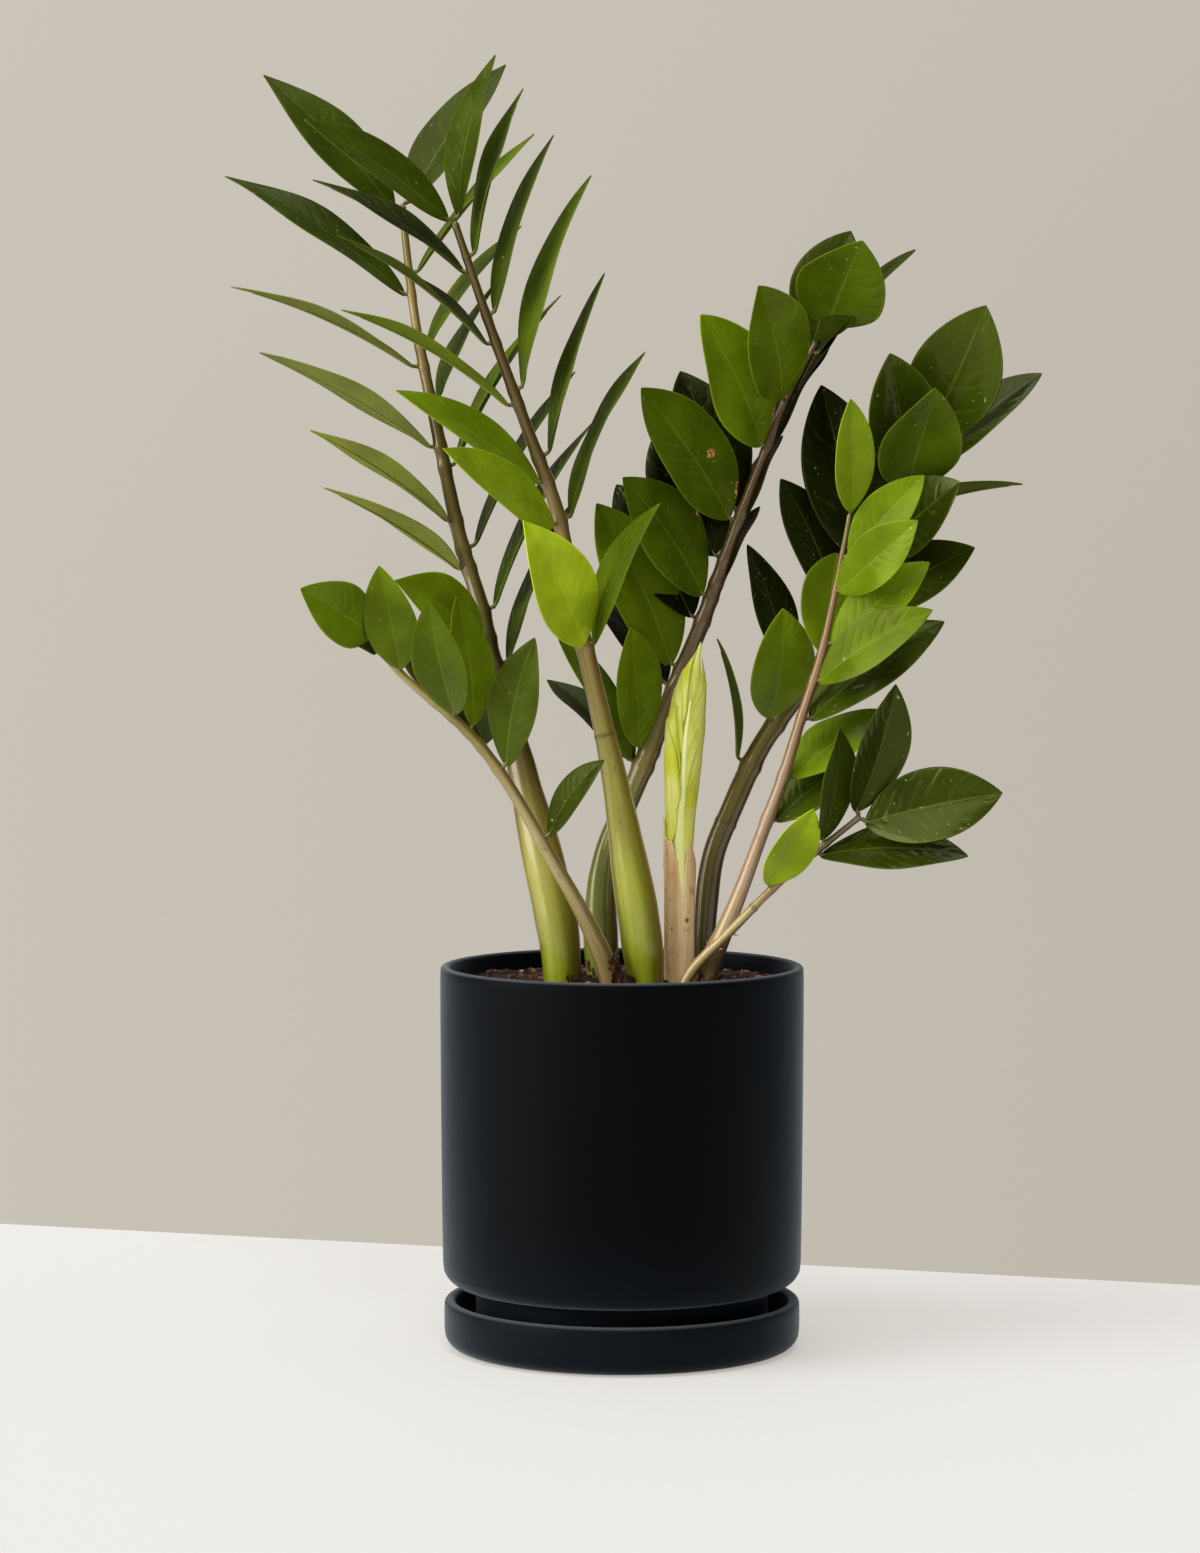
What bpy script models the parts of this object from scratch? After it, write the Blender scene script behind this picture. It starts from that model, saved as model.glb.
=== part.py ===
"""Potted ZZ plant: a cylinder pot on its saucer, soil, seven compound leaves and one new shoot.

Metres, +Z up. The origin is the centre of the saucer's underside and -Y is the front.
Heights of the plant are measured from the soil, so it rides up and down with the pot.
"""

import math

import bmesh
import bpy
from mathutils import Matrix, Vector

MM = 0.001

# ---- saucer
SAUCER_INSET = 1.6 * MM  # the saucer's edge lies this far inside the pot's rim
SAUCER_HEIGHT = 20.5 * MM
SAUCER_WALL = 5.0 * MM
SAUCER_FLOOR = 5.0 * MM
SAUCER_EDGE = 7.0 * MM  # radius of the rounded bottom edge

# ---- pot
POT_RADIUS = 76.2 * MM  # at the rim
POT_TAPER = 1.0 * MM  # the bottom is this much smaller in radius
POT_HEIGHT = 155.0 * MM  # foot to rim
POT_WALL = 4.5 * MM
POT_FLOOR = 7.0 * MM
POT_EDGE = 9.0 * MM  # radius of the rounded bottom edge
FOOT_HEIGHT = 21.0 * MM
FOOT_INSET = 14.0 * MM  # from the pot's side to the foot's side
FOOT_WALL = 9.0 * MM
DRAIN_RADIUS = 8.0 * MM
SEAT_GAP = 0.3 * MM  # pot on saucer, and soil in pot

# ---- soil
SOIL_DROP = 7.0 * MM  # rim to soil
SOIL_FALL = 1.0 * MM  # the soil is this much lower at the wall than at the plant
SOIL_CLEARANCE = 0.4 * MM  # round each buried foot
ROOT_DEPTH = 18.0 * MM  # how deep a foot is buried
POCKET_RISE = 12.0 * MM  # how far a pocket cutter stands above the soil

# ---- new shoot and its sheath
SHEATH_RADIUS = 7.0 * MM
SHEATH_WALL = 0.9 * MM
SHEATH_HEIGHT = 62.0 * MM
SHEATH_SPLIT = 36.0 * MM  # height where the front splits open
SHEATH_SPLIT_WIDTH = 10.0 * MM
SHEATH_GAP = 0.6 * MM  # between the sheath and the shoot in it

# ---- leaflets
LEAFLET_THICKNESS = 0.8 * MM
LEAFLET_FOLD = 14.0  # degrees that each half rises from the midrib
LEAFLET_ARCH = 0.045  # rise of the midrib's middle, as a share of the length
LEAFLET_STEM_WIDTH = 2.0 * MM
LEAFLET_GAP = 0.7 * MM  # from a stalk's skin to the leaflet's own short stem

# ---- fineness of the meshes
TURNED_STEPS = 40
STALK_STEP = 12.0 * MM  # length of one straight stretch of a stalk
ROUTE_SAMPLES = 400  # points tried along a stalk's smooth curve
STALK_BEVEL = 3  # bevel resolution of a stalk's curve
SHOOT_BEVEL = 4
POCKET_BEVEL = 4
WELD = 0.001 * MM

RIM_Z = SAUCER_FLOOR + SEAT_GAP + POT_HEIGHT
SOIL_Z = RIM_Z - SOIL_DROP

# Half width of a leaflet as a share of its widest, at shares of its length.
OUTLINE = [
    (0.0, 0.0), (0.07, 0.0), (0.2, 0.55), (0.36, 0.93),
    (0.52, 1.0), (0.7, 0.8), (0.86, 0.42), (1.0, 0.0),
]

# Each compound leaf: its stalk's route as (x, y, height over the soil, radius) in mm, and its two rows
# of leaflets as (height on the stalk, lean, toward, turn, length, width) in mm and degrees.
# lean: from upright, to the right as seen from the front. toward: out of the picture, to the viewer.
# turn: 0 shows the upper face to the front, 90 shows the leaflet edge-on with that face to the stalk.
LEAVES = {
    "tall_left": {
        "route": [
            (-25, -5, 0, 7.6), (-26, -4, 18, 8.4), (-32, -1, 47, 8.6), (-40, 4, 80, 6.6),
            (-46, 9, 106, 4.6), (-54, 14, 132, 4.0), (-60, 19, 159, 3.5), (-68, 23, 184, 3.1),
            (-78, 29, 231, 2.6), (-87, 34, 275, 2.0), (-93, 38, 326, 1.4),
        ],
        "left": [
            (324, -45, 0, 42, 79, 28), (287, -56, 0, 62, 91, 28), (257, -65, 0, 92, 85, 26),
            (223, -61, 0, 108, 83, 26), (192, -56, 20, 108, 72, 26), (172, -59, 25, 108, 72, 26),
            (142, -53, 50, 40, 67, 28),
        ],
        "right": [
            (326, 34, -18, 45, 77, 28), (296, 41, 0, 80, 77, 26), (214, 32, 0, 80, 85, 26),
        ],
    },
    "tall_centre": {
        "route": [
            (10, -13, 0, 6.8), (8, -13, 20, 8.8), (3, -13, 50, 7.6), (-1, -13, 74, 6.1),
            (-6, -13, 99, 4.5), (-14, -14, 134, 3.6), (-20, -15, 160, 3.3), (-26, -16, 194, 2.9),
            (-38, -17, 227, 2.5), (-54, -18, 271, 2.0), (-69, -20, 315, 1.4),
        ],
        "left": [
            (315, -56, 20, 55, 74, 28), (294, -59, 0, 72, 73, 26), (265, -54, 0, 85, 77, 26),
            (240, -60, 0, 95, 80, 26), (208, -57, 20, 60, 74, 27), (192, -57, 40, 52, 70, 28),
            (141, -24, 30, 30, 66, 30),
        ],
        "right": [
            (315, 12, 0, 60, 68, 26), (276, 18, 0, 70, 77, 26), (245, 17, 0, 72, 92, 27),
            (192, 25, 0, 75, 75, 26), (141, 25, 25, 62, 70, 26),
        ],
    },
    "low_left": {
        "route": [
            (-4, -21, 0, 4.6), (-9, -23, 15, 4.0), (-18, -26, 34, 3.2), (-31, -30, 57, 2.6),
            (-45, -35, 82, 2.4), (-59, -38, 102, 2.1), (-69, -40, 112, 1.8), (-85, -42, 125, 1.6),
            (-96, -44, 136, 1.3), (-102, -45, 146, 1.1),
        ],
        "left": [
            (146, -51, 50, 20, 50, 24),
        ],
        "right": [
            (131, -12, 28, 10, 48, 21), (112, -13, 33, 25, 57, 22), (91, 13, 20, 30, 57, 22),
        ],
    },
    "middle_right": {
        "route": [
            (-8, 22, 0, 6.4), (-9, 22, 17, 7.4), (-7, 21, 50, 5.2), (7, 20, 84, 4.5),
            (22, 20, 121, 3.8), (34, 20, 150, 3.3), (46, 20, 184, 2.7), (59, 20, 218, 2.2),
            (69, 20, 243, 1.8), (80, 21, 264, 1.4), (86, 21, 275, 1.2),
        ],
        "left": [
            (274, 22, 50, 0, 56, 33), (243, -16, 40, 32, 61, 32), (222, -25, 25, 38, 66, 34),
            (192, -35, 15, 38, 68, 34), (159, -34, 18, 42, 63, 32), (130, -25, 6, 35, 75, 32),
            (96, -6, 20, 48, 54, 26),
        ],
        "right": [],
    },
    "back_right": {
        "route": [
            (35, 18, 0, 4.4), (35, 18, 20, 4.8), (38, 20, 50, 4.8), (44, 21, 65, 4.6),
            (53, 23, 86, 4.3), (62, 25, 103, 4.1), (76, 28, 120, 3.4), (97, 32, 154, 2.8),
            (114, 36, 186, 2.3), (124, 38, 212, 1.8), (129, 40, 226, 1.5),
        ],
        "left": [
            (205, 11, 45, 10, 60, 34), (107, 4, 30, 25, 54, 29),
        ],
        "right": [
            (226, 22, 18, 5, 64, 38), (215, 51, 4, 58, 64, 32), (154, 59, 12, 45, 57, 32),
        ],
    },
    "front_right": {
        "route": [
            (33, -10, 0, 4.6), (39, -11, 14, 4.1), (49, -12, 38, 3.1), (58, -13, 63, 2.7),
            (67, -14, 87, 2.5), (74, -14, 111, 2.1), (82, -15, 136, 1.8), (88, -15, 164, 1.3),
            (94, -16, 196, 1.0),
        ],
        "left": [
            (196, -1, 28, 30, 52, 24),
        ],
        "right": [
            (178, 43, 10, 22, 46, 24), (163, 45, 32, 25, 50, 26), (126, 55, 20, 30, 58, 26),
            (111, 54, -10, 45, 71, 32),
        ],
    },
    "low_right": {
        "route": [
            (24, -17, 0, 2.5), (34, -18, 12, 2.1), (47, -20, 25, 1.8), (62, -22, 41, 1.6),
            (82, -25, 58, 1.4), (98, -27, 71, 1.1),
        ],
        "left": [
            (71, 16, 12, 35, 56, 26), (59, 9, 15, 50, 49, 23), (41, 29, 20, 30, 39, 20),
        ],
        "right": [
            (71, 78, 10, 20, 58, 31), (56, 88, 10, 55, 61, 27),
        ],
    },
}

# The furled shoot, in the same measures as a stalk's route. Its foot fills the sheath, less a gap.
SHEATH_TOP = SHEATH_HEIGHT / MM
SHOOT_FOOT = (SHEATH_RADIUS - SHEATH_WALL - SHEATH_GAP) / MM
SHOOT_ROUTE = [
    (24, 2, 0, SHOOT_FOOT), (24, 2, SHEATH_TOP / 2, SHOOT_FOOT), (24, 2, SHEATH_TOP, SHOOT_FOOT),
    (25, 2, SHEATH_TOP + 23, 7.0), (26, 2, SHEATH_TOP + 41, 7.8), (28, 2, SHEATH_TOP + 55, 7.0),
    (30, 2, SHEATH_TOP + 66, 5.2), (32, 2, SHEATH_TOP + 75, 2.6), (33, 2, SHEATH_TOP + 80, 0.8),
]

# name: (red, green, blue), roughness
COLOURS = {
    "glaze": ((0.012, 0.016, 0.022), 0.55),
    "soil": ((0.045, 0.022, 0.014), 0.95),
    "stalk": ((0.22, 0.19, 0.05), 0.45),
    "leaflet": ((0.035, 0.11, 0.006), 0.35),
    "shoot": ((0.55, 0.68, 0.10), 0.4),
    "sheath": ((0.50, 0.36, 0.18), 0.7),
}


def clear_scene():
    for thing in list(bpy.data.objects):
        bpy.data.objects.remove(thing)


def new_collection(name):
    collection = bpy.data.collections.new(name)
    bpy.context.scene.collection.children.link(collection)
    return collection


def new_material(name):
    """A plain Principled BSDF material in one of the object's colours."""
    colour, roughness = COLOURS[name]
    material = bpy.data.materials.new(name)
    material.use_nodes = True
    shader = material.node_tree.nodes["Principled BSDF"]
    shader.inputs["Base Color"].default_value = (*colour, 1.0)
    shader.inputs["Roughness"].default_value = roughness
    return material


def add_object(name, data, collection, material=None):
    thing = bpy.data.objects.new(name, data)
    collection.objects.link(thing)
    if material:
        data.materials.append(material)
    return thing


def as_cutter(thing):
    thing.hide_render = True
    thing.display_type = "WIRE"
    return thing


def cut(thing, cutter):
    """Takes the cutter's shape out of the object."""
    modifier = thing.modifiers.new(f"cut_{cutter.name}", "BOOLEAN")
    modifier.operation = "DIFFERENCE"
    modifier.solver = "EXACT"
    modifier.object = cutter


def smooth(mesh, angle=40.0):
    mesh.shade_smooth()
    mesh.set_sharp_from_angle(angle=math.radians(angle))


# ---- turned pieces


def arc(centre, radius, start, end, steps):
    """Points on an arc of a profile, as (radius, height), from one angle to another in degrees."""
    angles = [math.radians(start + (end - start) * i / steps) for i in range(steps + 1)]
    return [(centre[0] + radius * math.cos(a), centre[1] + radius * math.sin(a)) for a in angles]


def turned(name, profile, collection, material):
    """A solid of revolution about Z. The profile is a closed loop that starts down its outer side."""
    mesh = bpy.data.meshes.new(name)
    shape = bmesh.new()
    points = [shape.verts.new((r, 0.0, z)) for r, z in profile]
    for first, second in zip(points, [*points[1:], points[0]]):
        shape.edges.new((first, second))
    shape.to_mesh(mesh)
    shape.free()
    thing = add_object(name, mesh, collection, material)
    screw = thing.modifiers.new("turn", "SCREW")
    screw.axis = "Z"
    screw.steps = screw.render_steps = TURNED_STEPS
    screw.use_merge_vertices = True
    screw.merge_threshold = WELD
    screw.use_smooth_shade = True
    return thing


def pot_side(z):
    """Outer radius of the pot at a height: it tapers a little towards the bottom."""
    return POT_RADIUS - POT_TAPER * (RIM_Z - z) / POT_HEIGHT


def build_saucer(collection, material):
    outer = POT_RADIUS - SAUCER_INSET
    lip = SAUCER_WALL / 2
    top = SAUCER_HEIGHT - lip
    inner = outer - SAUCER_WALL
    corner = SAUCER_EDGE - SAUCER_WALL / 2
    profile = (
        arc((outer - lip, top), lip, 90, 0, 3)
        + arc((outer - SAUCER_EDGE, SAUCER_EDGE), SAUCER_EDGE, 0, -90, 4)
        + [(0.0, 0.0), (0.0, SAUCER_FLOOR)]
        + arc((inner - corner, SAUCER_FLOOR + corner), corner, -90, 0, 3)
        + arc((outer - lip, top), lip, 180, 120, 2)
    )
    return turned("saucer", profile, collection, material)


def build_pot(collection, material):
    foot_z = SAUCER_FLOOR + SEAT_GAP
    belly_z = foot_z + FOOT_HEIGHT
    lip = POT_WALL / 2
    rim_centre = (POT_RADIUS - lip, RIM_Z - lip)
    edge_centre = (pot_side(belly_z) - POT_EDGE, belly_z + POT_EDGE)
    foot = pot_side(belly_z) - FOOT_INSET
    floor_z = belly_z + POT_FLOOR
    inner_corner = POT_EDGE - POT_WALL / 2
    inner = pot_side(floor_z) - POT_WALL
    profile = (
        arc(rim_centre, lip, 90, 0, 3)
        + arc(edge_centre, POT_EDGE, 0, -90, 5)
        + [(foot, belly_z), (foot, foot_z), (foot - FOOT_WALL, foot_z), (foot - FOOT_WALL, belly_z)]
        + [(DRAIN_RADIUS, belly_z), (DRAIN_RADIUS, floor_z)]
        + arc((inner - inner_corner, floor_z + inner_corner), inner_corner, -90, 0, 3)
        + arc(rim_centre, lip, 180, 120, 2)
    )
    return turned("pot", profile, collection, material)


def build_soil(collection, material):
    """Fills the pot from its floor up, standing clear of the wall and of the rounded inner corner."""
    floor_z = SAUCER_FLOOR + SEAT_GAP + FOOT_HEIGHT + POT_FLOOR
    base_z = floor_z + SEAT_GAP
    corner = POT_EDGE
    wall = POT_WALL + SEAT_GAP
    profile = [
        (pot_side(SOIL_Z) - wall, SOIL_Z - SOIL_FALL),
        (pot_side(base_z + corner) - wall, base_z + corner),
        (pot_side(base_z) - wall - corner, base_z),
        (0.0, base_z),
        (0.0, SOIL_Z),
        (pot_side(SOIL_Z) / 2, SOIL_Z),
    ]
    return turned("soil", profile, collection, material)


# ---- stalks


def catmull_rom(points, share):
    """A point of the smooth curve through the points, share running from 0 to 1."""
    place = share * (len(points) - 1)
    i = min(int(place), len(points) - 2)
    t = place - i
    a, b, c, d = (points[min(max(i + k, 0), len(points) - 1)] for k in (-1, 0, 1, 2))
    return (2 * b + (c - a) * t + (2 * a - 5 * b + 4 * c - d) * t**2 + (3 * b - a - 3 * c + d) * t**3) / 2


def stalk_points(route):
    """The route as 4D points in metres (x, y, z, radius), from its buried end up, a STALK_STEP apart."""
    rows = [Vector((x * MM, y * MM, SOIL_Z + h * MM, r * MM)) for x, y, h, r in route]
    buried = rows[0].copy()
    buried.z -= ROOT_DEPTH
    fine = [catmull_rom([buried, *rows], i / ROUTE_SAMPLES) for i in range(ROUTE_SAMPLES + 1)]
    kept = [fine[0]]
    for point in fine[1:-1]:
        if (point.xyz - kept[-1].xyz).length >= STALK_STEP:
            kept.append(point)
    return [*kept, fine[-1]]


def tube(name, points, collection, material=None, bevel=STALK_BEVEL):
    """A round tube along 4D points, as a curve with a bevel."""
    curve = bpy.data.curves.new(name, "CURVE")
    curve.dimensions = "3D"
    curve.bevel_depth = MM
    curve.bevel_resolution = bevel
    curve.use_fill_caps = True
    line = curve.splines.new("POLY")
    line.points.add(len(points) - 1)
    for spot, point in zip(line.points, points):
        spot.co = (*point.xyz, 1.0)
        spot.radius = point.w / MM
    return add_object(name, curve, collection, material)


def tube_as_mesh(thing):
    """The curve object made a closed mesh, so that it can take or make a cut."""
    graph = bpy.context.evaluated_depsgraph_get()
    mesh = bpy.data.meshes.new_from_object(thing.evaluated_get(graph))
    shape = bmesh.new()
    shape.from_mesh(mesh)
    bmesh.ops.remove_doubles(shape, verts=shape.verts, dist=WELD)
    bmesh.ops.recalc_face_normals(shape, faces=shape.faces)
    shape.to_mesh(mesh)
    shape.free()
    name, place, home = thing.name, thing.matrix_world.copy(), thing.users_collection[0]
    bpy.data.objects.remove(thing)
    solid = add_object(name, mesh, home)
    solid.matrix_world = place
    return solid


def cut_pocket(soil, name, points, cutters):
    """A hole in the soil for one buried foot, following its route with clearance."""
    low = [p for p in points if p.z < SOIL_Z + POCKET_RISE]
    below = low[0].copy()
    below.z -= SOIL_CLEARANCE
    flats = 1 / math.cos(math.pi / (4 + 2 * POCKET_BEVEL))  # so that the middles of its sides clear too
    wide = [Vector((*p.xyz, (p.w + SOIL_CLEARANCE) * flats)) for p in (below, *low, points[len(low)])]
    pocket = tube(f"pocket_{name}", wide, cutters, bevel=POCKET_BEVEL)
    cut(soil, as_cutter(tube_as_mesh(pocket)))


# ---- leaflets


def leaflet_axes(lean, toward, turn, side):
    """(across, along, face) of a leaflet. side is 1 in the left row and -1 in the right row."""
    lean, toward, turn = (math.radians(a) for a in (lean, toward, turn))
    level = math.cos(toward)
    along = Vector((math.sin(lean) * level, -math.sin(toward), math.cos(lean) * level))
    front = Vector((0.0, -1.0, 0.0))
    front = (front - front.dot(along) * along).normalized()
    inward = along.cross(front) * side
    face = front * math.cos(turn) + inward * math.sin(turn)
    return along.cross(face), along, face


def leaflet_mesh(name, length, width):
    """A folded, arched blade that runs from the origin along +Y with its upper face to +Z."""
    shape = bmesh.new()
    bmesh.ops.create_grid(shape, x_segments=2, y_segments=len(OUTLINE) - 1, size=1.0)
    rise = math.tan(math.radians(LEAFLET_FOLD))
    for vert in shape.verts:
        across = vert.co.x
        share, half = OUTLINE[round((vert.co.y + 1) / 2 * (len(OUTLINE) - 1))]
        half = LEAFLET_STEM_WIDTH / 2 * (1 - share) + half * width / 2
        half = max(half, LEAFLET_STEM_WIDTH / 6)
        arch = LEAFLET_ARCH * length * 4 * share * (1 - share)
        vert.co = (across * half, share * length, abs(across) * half * rise + arch)
    mesh = bpy.data.meshes.new(name)
    shape.to_mesh(mesh)
    shape.free()
    smooth(mesh, angle=80.0)
    return mesh


def stalk_at(points, height):
    """(centre, direction, radius) of a stalk at a height over the soil."""
    z = SOIL_Z + height * MM
    i = next((i for i in range(1, len(points) - 1) if points[i].z >= z), len(points) - 1)
    low, high = points[i - 1], points[i]
    share = min((z - low.z) / (high.z - low.z), 1.0)
    spot = low.lerp(high, share)
    return spot.xyz, (high.xyz - low.xyz).normalized(), spot.w


def add_leaflet(name, points, row, side, collection, material):
    height, lean, toward, turn, length, width = row
    across, along, face = leaflet_axes(lean, toward, turn, side)
    centre, upward, radius = stalk_at(points, height)
    out = (along - along.dot(upward) * upward).normalized()
    leaflet = add_object(name, leaflet_mesh(name, length * MM, width * MM), collection, material)
    axes = Matrix((across, along, face)).transposed().to_4x4()
    start = centre + out * (radius + LEAFLET_GAP + LEAFLET_STEM_WIDTH / 2)
    leaflet.matrix_world = Matrix.Translation(start) @ axes
    skin = leaflet.modifiers.new("thickness", "SOLIDIFY")
    skin.thickness = LEAFLET_THICKNESS
    skin.offset = 0.0


def build_leaf(name, leaf, soil, parts, cutters, materials):
    """One compound leaf: its stalk, the pocket for it in the soil, and its two rows of leaflets."""
    points = stalk_points(leaf["route"])
    tube(f"{name}_stalk", points, parts, materials["stalk"])
    cut_pocket(soil, name, points, cutters)
    for word, side in (("left", 1), ("right", -1)):
        for number, row in enumerate(leaf[word], start=1):
            add_leaflet(f"{name}_leaflet_{word}_{number}", points, row, side, parts, materials["leaflet"])


# ---- new shoot


def build_sheath(parts, cutters, material, x, y):
    """The papery tube round the shoot, with a V cut down its front where it has split."""
    inner = SHEATH_RADIUS - SHEATH_WALL
    low, high = SOIL_Z - ROOT_DEPTH, SOIL_Z + SHEATH_HEIGHT
    profile = [(SHEATH_RADIUS, high), (SHEATH_RADIUS, low), (inner, low), (inner, high)]
    sheath = turned("shoot_sheath", profile, parts, material)
    sheath.location = (x, y, 0.0)
    mesh = bpy.data.meshes.new("sheath_split")
    shape = bmesh.new()
    bmesh.ops.create_cube(shape, size=math.sqrt(0.5))
    bmesh.ops.rotate(shape, verts=shape.verts, matrix=Matrix.Rotation(math.radians(45), 3, "Y"))
    depth = 2 * (SHEATH_HEIGHT - SHEATH_SPLIT)
    reach = 2 * SHEATH_RADIUS / math.sqrt(0.5)
    bmesh.ops.scale(shape, verts=shape.verts, vec=(SHEATH_SPLIT_WIDTH, reach, depth))
    shape.to_mesh(mesh)
    shape.free()
    wedge = as_cutter(add_object("sheath_split", mesh, cutters))
    wedge.location = (x, y - SHEATH_RADIUS, high)
    cut(sheath, wedge)


def build_shoot(soil, parts, cutters, materials):
    points = stalk_points(SHOOT_ROUTE)
    tube("new_shoot", points, parts, materials["shoot"], bevel=SHOOT_BEVEL)
    x, y = points[0].x, points[0].y
    build_sheath(parts, cutters, materials["sheath"], x, y)
    wide = [Vector((x, y, p.z, SHEATH_RADIUS)) for p in points]
    cut_pocket(soil, "shoot", wide, cutters)


def main():
    clear_scene()
    parts = new_collection("potted_zz_plant")
    cutters = new_collection("cutters")
    materials = {name: new_material(name) for name in COLOURS}
    build_saucer(parts, materials["glaze"])
    build_pot(parts, materials["glaze"])
    soil = build_soil(parts, materials["soil"])
    for name, leaf in LEAVES.items():
        build_leaf(name, leaf, soil, parts, cutters, materials)
    build_shoot(soil, parts, cutters, materials)


main()
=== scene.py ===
# %% [markdown]
# # A potted ZZ plant
#
# This lesson gives a plain CAD model of a houseplant its finished looks. The CAD model, which is
# loaded first, settles where everything is: the pot on its saucer, the soil, seven compound leaves
# and one new shoot. Each step below takes its places and sizes from that model, builds the finer
# piece, and makes the finish that goes on it.

# %% Load the frame
import math
import random

import bmesh
import bpy
import numpy as np
from mathutils import Matrix, Vector, noise


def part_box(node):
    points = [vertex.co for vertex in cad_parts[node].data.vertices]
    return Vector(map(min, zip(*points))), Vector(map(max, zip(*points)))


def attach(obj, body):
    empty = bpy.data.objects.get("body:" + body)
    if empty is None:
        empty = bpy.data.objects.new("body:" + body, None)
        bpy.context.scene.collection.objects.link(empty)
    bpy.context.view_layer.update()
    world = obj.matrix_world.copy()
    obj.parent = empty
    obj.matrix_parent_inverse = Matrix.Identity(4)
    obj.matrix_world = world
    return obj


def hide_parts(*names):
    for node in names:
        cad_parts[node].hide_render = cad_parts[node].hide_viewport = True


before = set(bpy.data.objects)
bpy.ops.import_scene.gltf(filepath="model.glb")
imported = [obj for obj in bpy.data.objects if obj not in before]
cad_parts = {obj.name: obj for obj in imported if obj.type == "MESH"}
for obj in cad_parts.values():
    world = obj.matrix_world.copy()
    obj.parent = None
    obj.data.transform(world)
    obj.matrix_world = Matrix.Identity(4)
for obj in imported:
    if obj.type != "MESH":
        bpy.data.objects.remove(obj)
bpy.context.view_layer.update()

MM = 0.001
WELD = 0.001 * MM
FRONT = Vector((0.0, -1.0, 0.0))
SOIL_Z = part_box("soil")[1].z
print(f"{len(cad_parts)} CAD nodes, soil at {SOIL_Z / MM:.1f} mm")

# %% [markdown]
# ## Helpers for nodes
#
# A finish in Blender is a small network of nodes. Written out in full, each node takes four or five
# lines, so the first helper adds any node and links what it is given. The others are the few nodes that
# the finishes need, such as a sum, a blend and a noise. Every finish below is then read as a recipe.

# %% Helpers for nodes
def add_node(tree, kind, values=(), **properties):
    """A new shader node. values are its inputs: another node's output is linked, the rest are set."""
    node = tree.nodes.new(f"ShaderNode{kind}")
    for name, value in properties.items():
        setattr(node, name, value)
    for name, value in dict(values).items():
        if isinstance(value, bpy.types.NodeSocket):
            tree.links.new(value, node.inputs[name])
        else:
            node.inputs[name].default_value = value
    return node


def sum_of(tree, operation, *values, clamp=False):
    """The result of a Math node."""
    return add_node(tree, "Math", dict(enumerate(values)), operation=operation, use_clamp=clamp).outputs[0]


def blended(tree, factor, first, second, mode="MIX"):
    """Two colours blended, as a Mix node does it."""
    inputs = {0: factor, 6: first, 7: second}
    return add_node(tree, "Mix", inputs, data_type="RGBA", blend_type=mode).outputs[2]


def multiplied(tree, first, second):
    return blended(tree, 1.0, first, second, "MULTIPLY")


def shaded(tree, colour, value):
    """A colour multiplied by an output: darker where that is under 1, lighter where it is over 1."""
    grey = add_node(tree, "CombineColor", {0: value, 1: value, 2: value}).outputs[0]
    return multiplied(tree, colour, grey)


def step_between(tree, value, start, end, low=0.0, high=1.0):
    """low where value is under start, high where it is over end, and a smooth step between."""
    inputs = {"Value": value, "From Min": start, "From Max": end, "To Min": low, "To Max": high}
    return add_node(tree, "MapRange", inputs, interpolation_type="SMOOTHSTEP").outputs[0]


def paint(code):
    """A colour from its code of three pairs of letters or digits, as on a paint card."""
    shares = [int(code[i:i + 2], 16) / 255 for i in (0, 2, 4)]
    linear = [share / 12.92 if share < 0.04 else ((share + 0.055) / 1.055) ** 2.4 for share in shares]
    return (*linear, 1.0)


def ramp(tree, factor, *stops):
    """A colour that runs through the stops, each a place from 0 to 1 and a colour."""
    node = add_node(tree, "ValToRGB", {"Fac": factor})
    elements = node.color_ramp.elements
    while len(elements) < len(stops):
        elements.new(0.5)
    for element, (place, colour) in zip(elements, stops):
        element.position = place
        element.color = colour
    return node.outputs[0]


def attribute_of(tree, name, output="Vector"):
    return add_node(tree, "Attribute", attribute_name=name).outputs[output]


def place_of(tree):
    """Where a point is on its own object, in metres."""
    return add_node(tree, "TexCoord").outputs["Object"]


def parts_of(tree, vector):
    """The X, Y and Z of a vector."""
    return add_node(tree, "SeparateXYZ", {"Vector": vector}).outputs


def noise_of(tree, vector, scale, detail=3.0, roughness=0.5):
    inputs = {"Vector": vector, "Scale": scale, "Detail": detail, "Roughness": roughness}
    return add_node(tree, "TexNoise", inputs).outputs["Fac"]


def long_noise(tree, vector, scale, detail=2.0, roughness=0.5):
    """Noise that is drawn out. scale is how fine it is along each axis."""
    drawn_out = add_node(tree, "Mapping", {"Vector": vector, "Scale": scale}).outputs[0]
    return noise_of(tree, drawn_out, 1.0, detail, roughness)


def bumped(tree, height, distance, strength=1.0, under=None):
    """A normal that rises with height, by distance metres at most. under is a bump that it sits on."""
    inputs = {"Height": height, "Distance": distance, "Strength": strength}
    if under:
        inputs["Normal"] = under
    return add_node(tree, "Bump", inputs).outputs[0]


def start_material(name, **settings):
    """A new material, its tree and its Principled shader. settings are plain values for the shader."""
    material = bpy.data.materials.new(name)
    material.use_nodes = True
    shader = material.node_tree.nodes["Principled BSDF"]
    for key, value in settings.items():
        shader.inputs[key.replace("_", " ")].default_value = value
    return material, material.node_tree, shader


def drive(tree, shader, **sockets):
    """Links each output to the shader's input of that name."""
    for key, socket in sockets.items():
        tree.links.new(socket, shader.inputs[key.replace("_", " ")])


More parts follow.
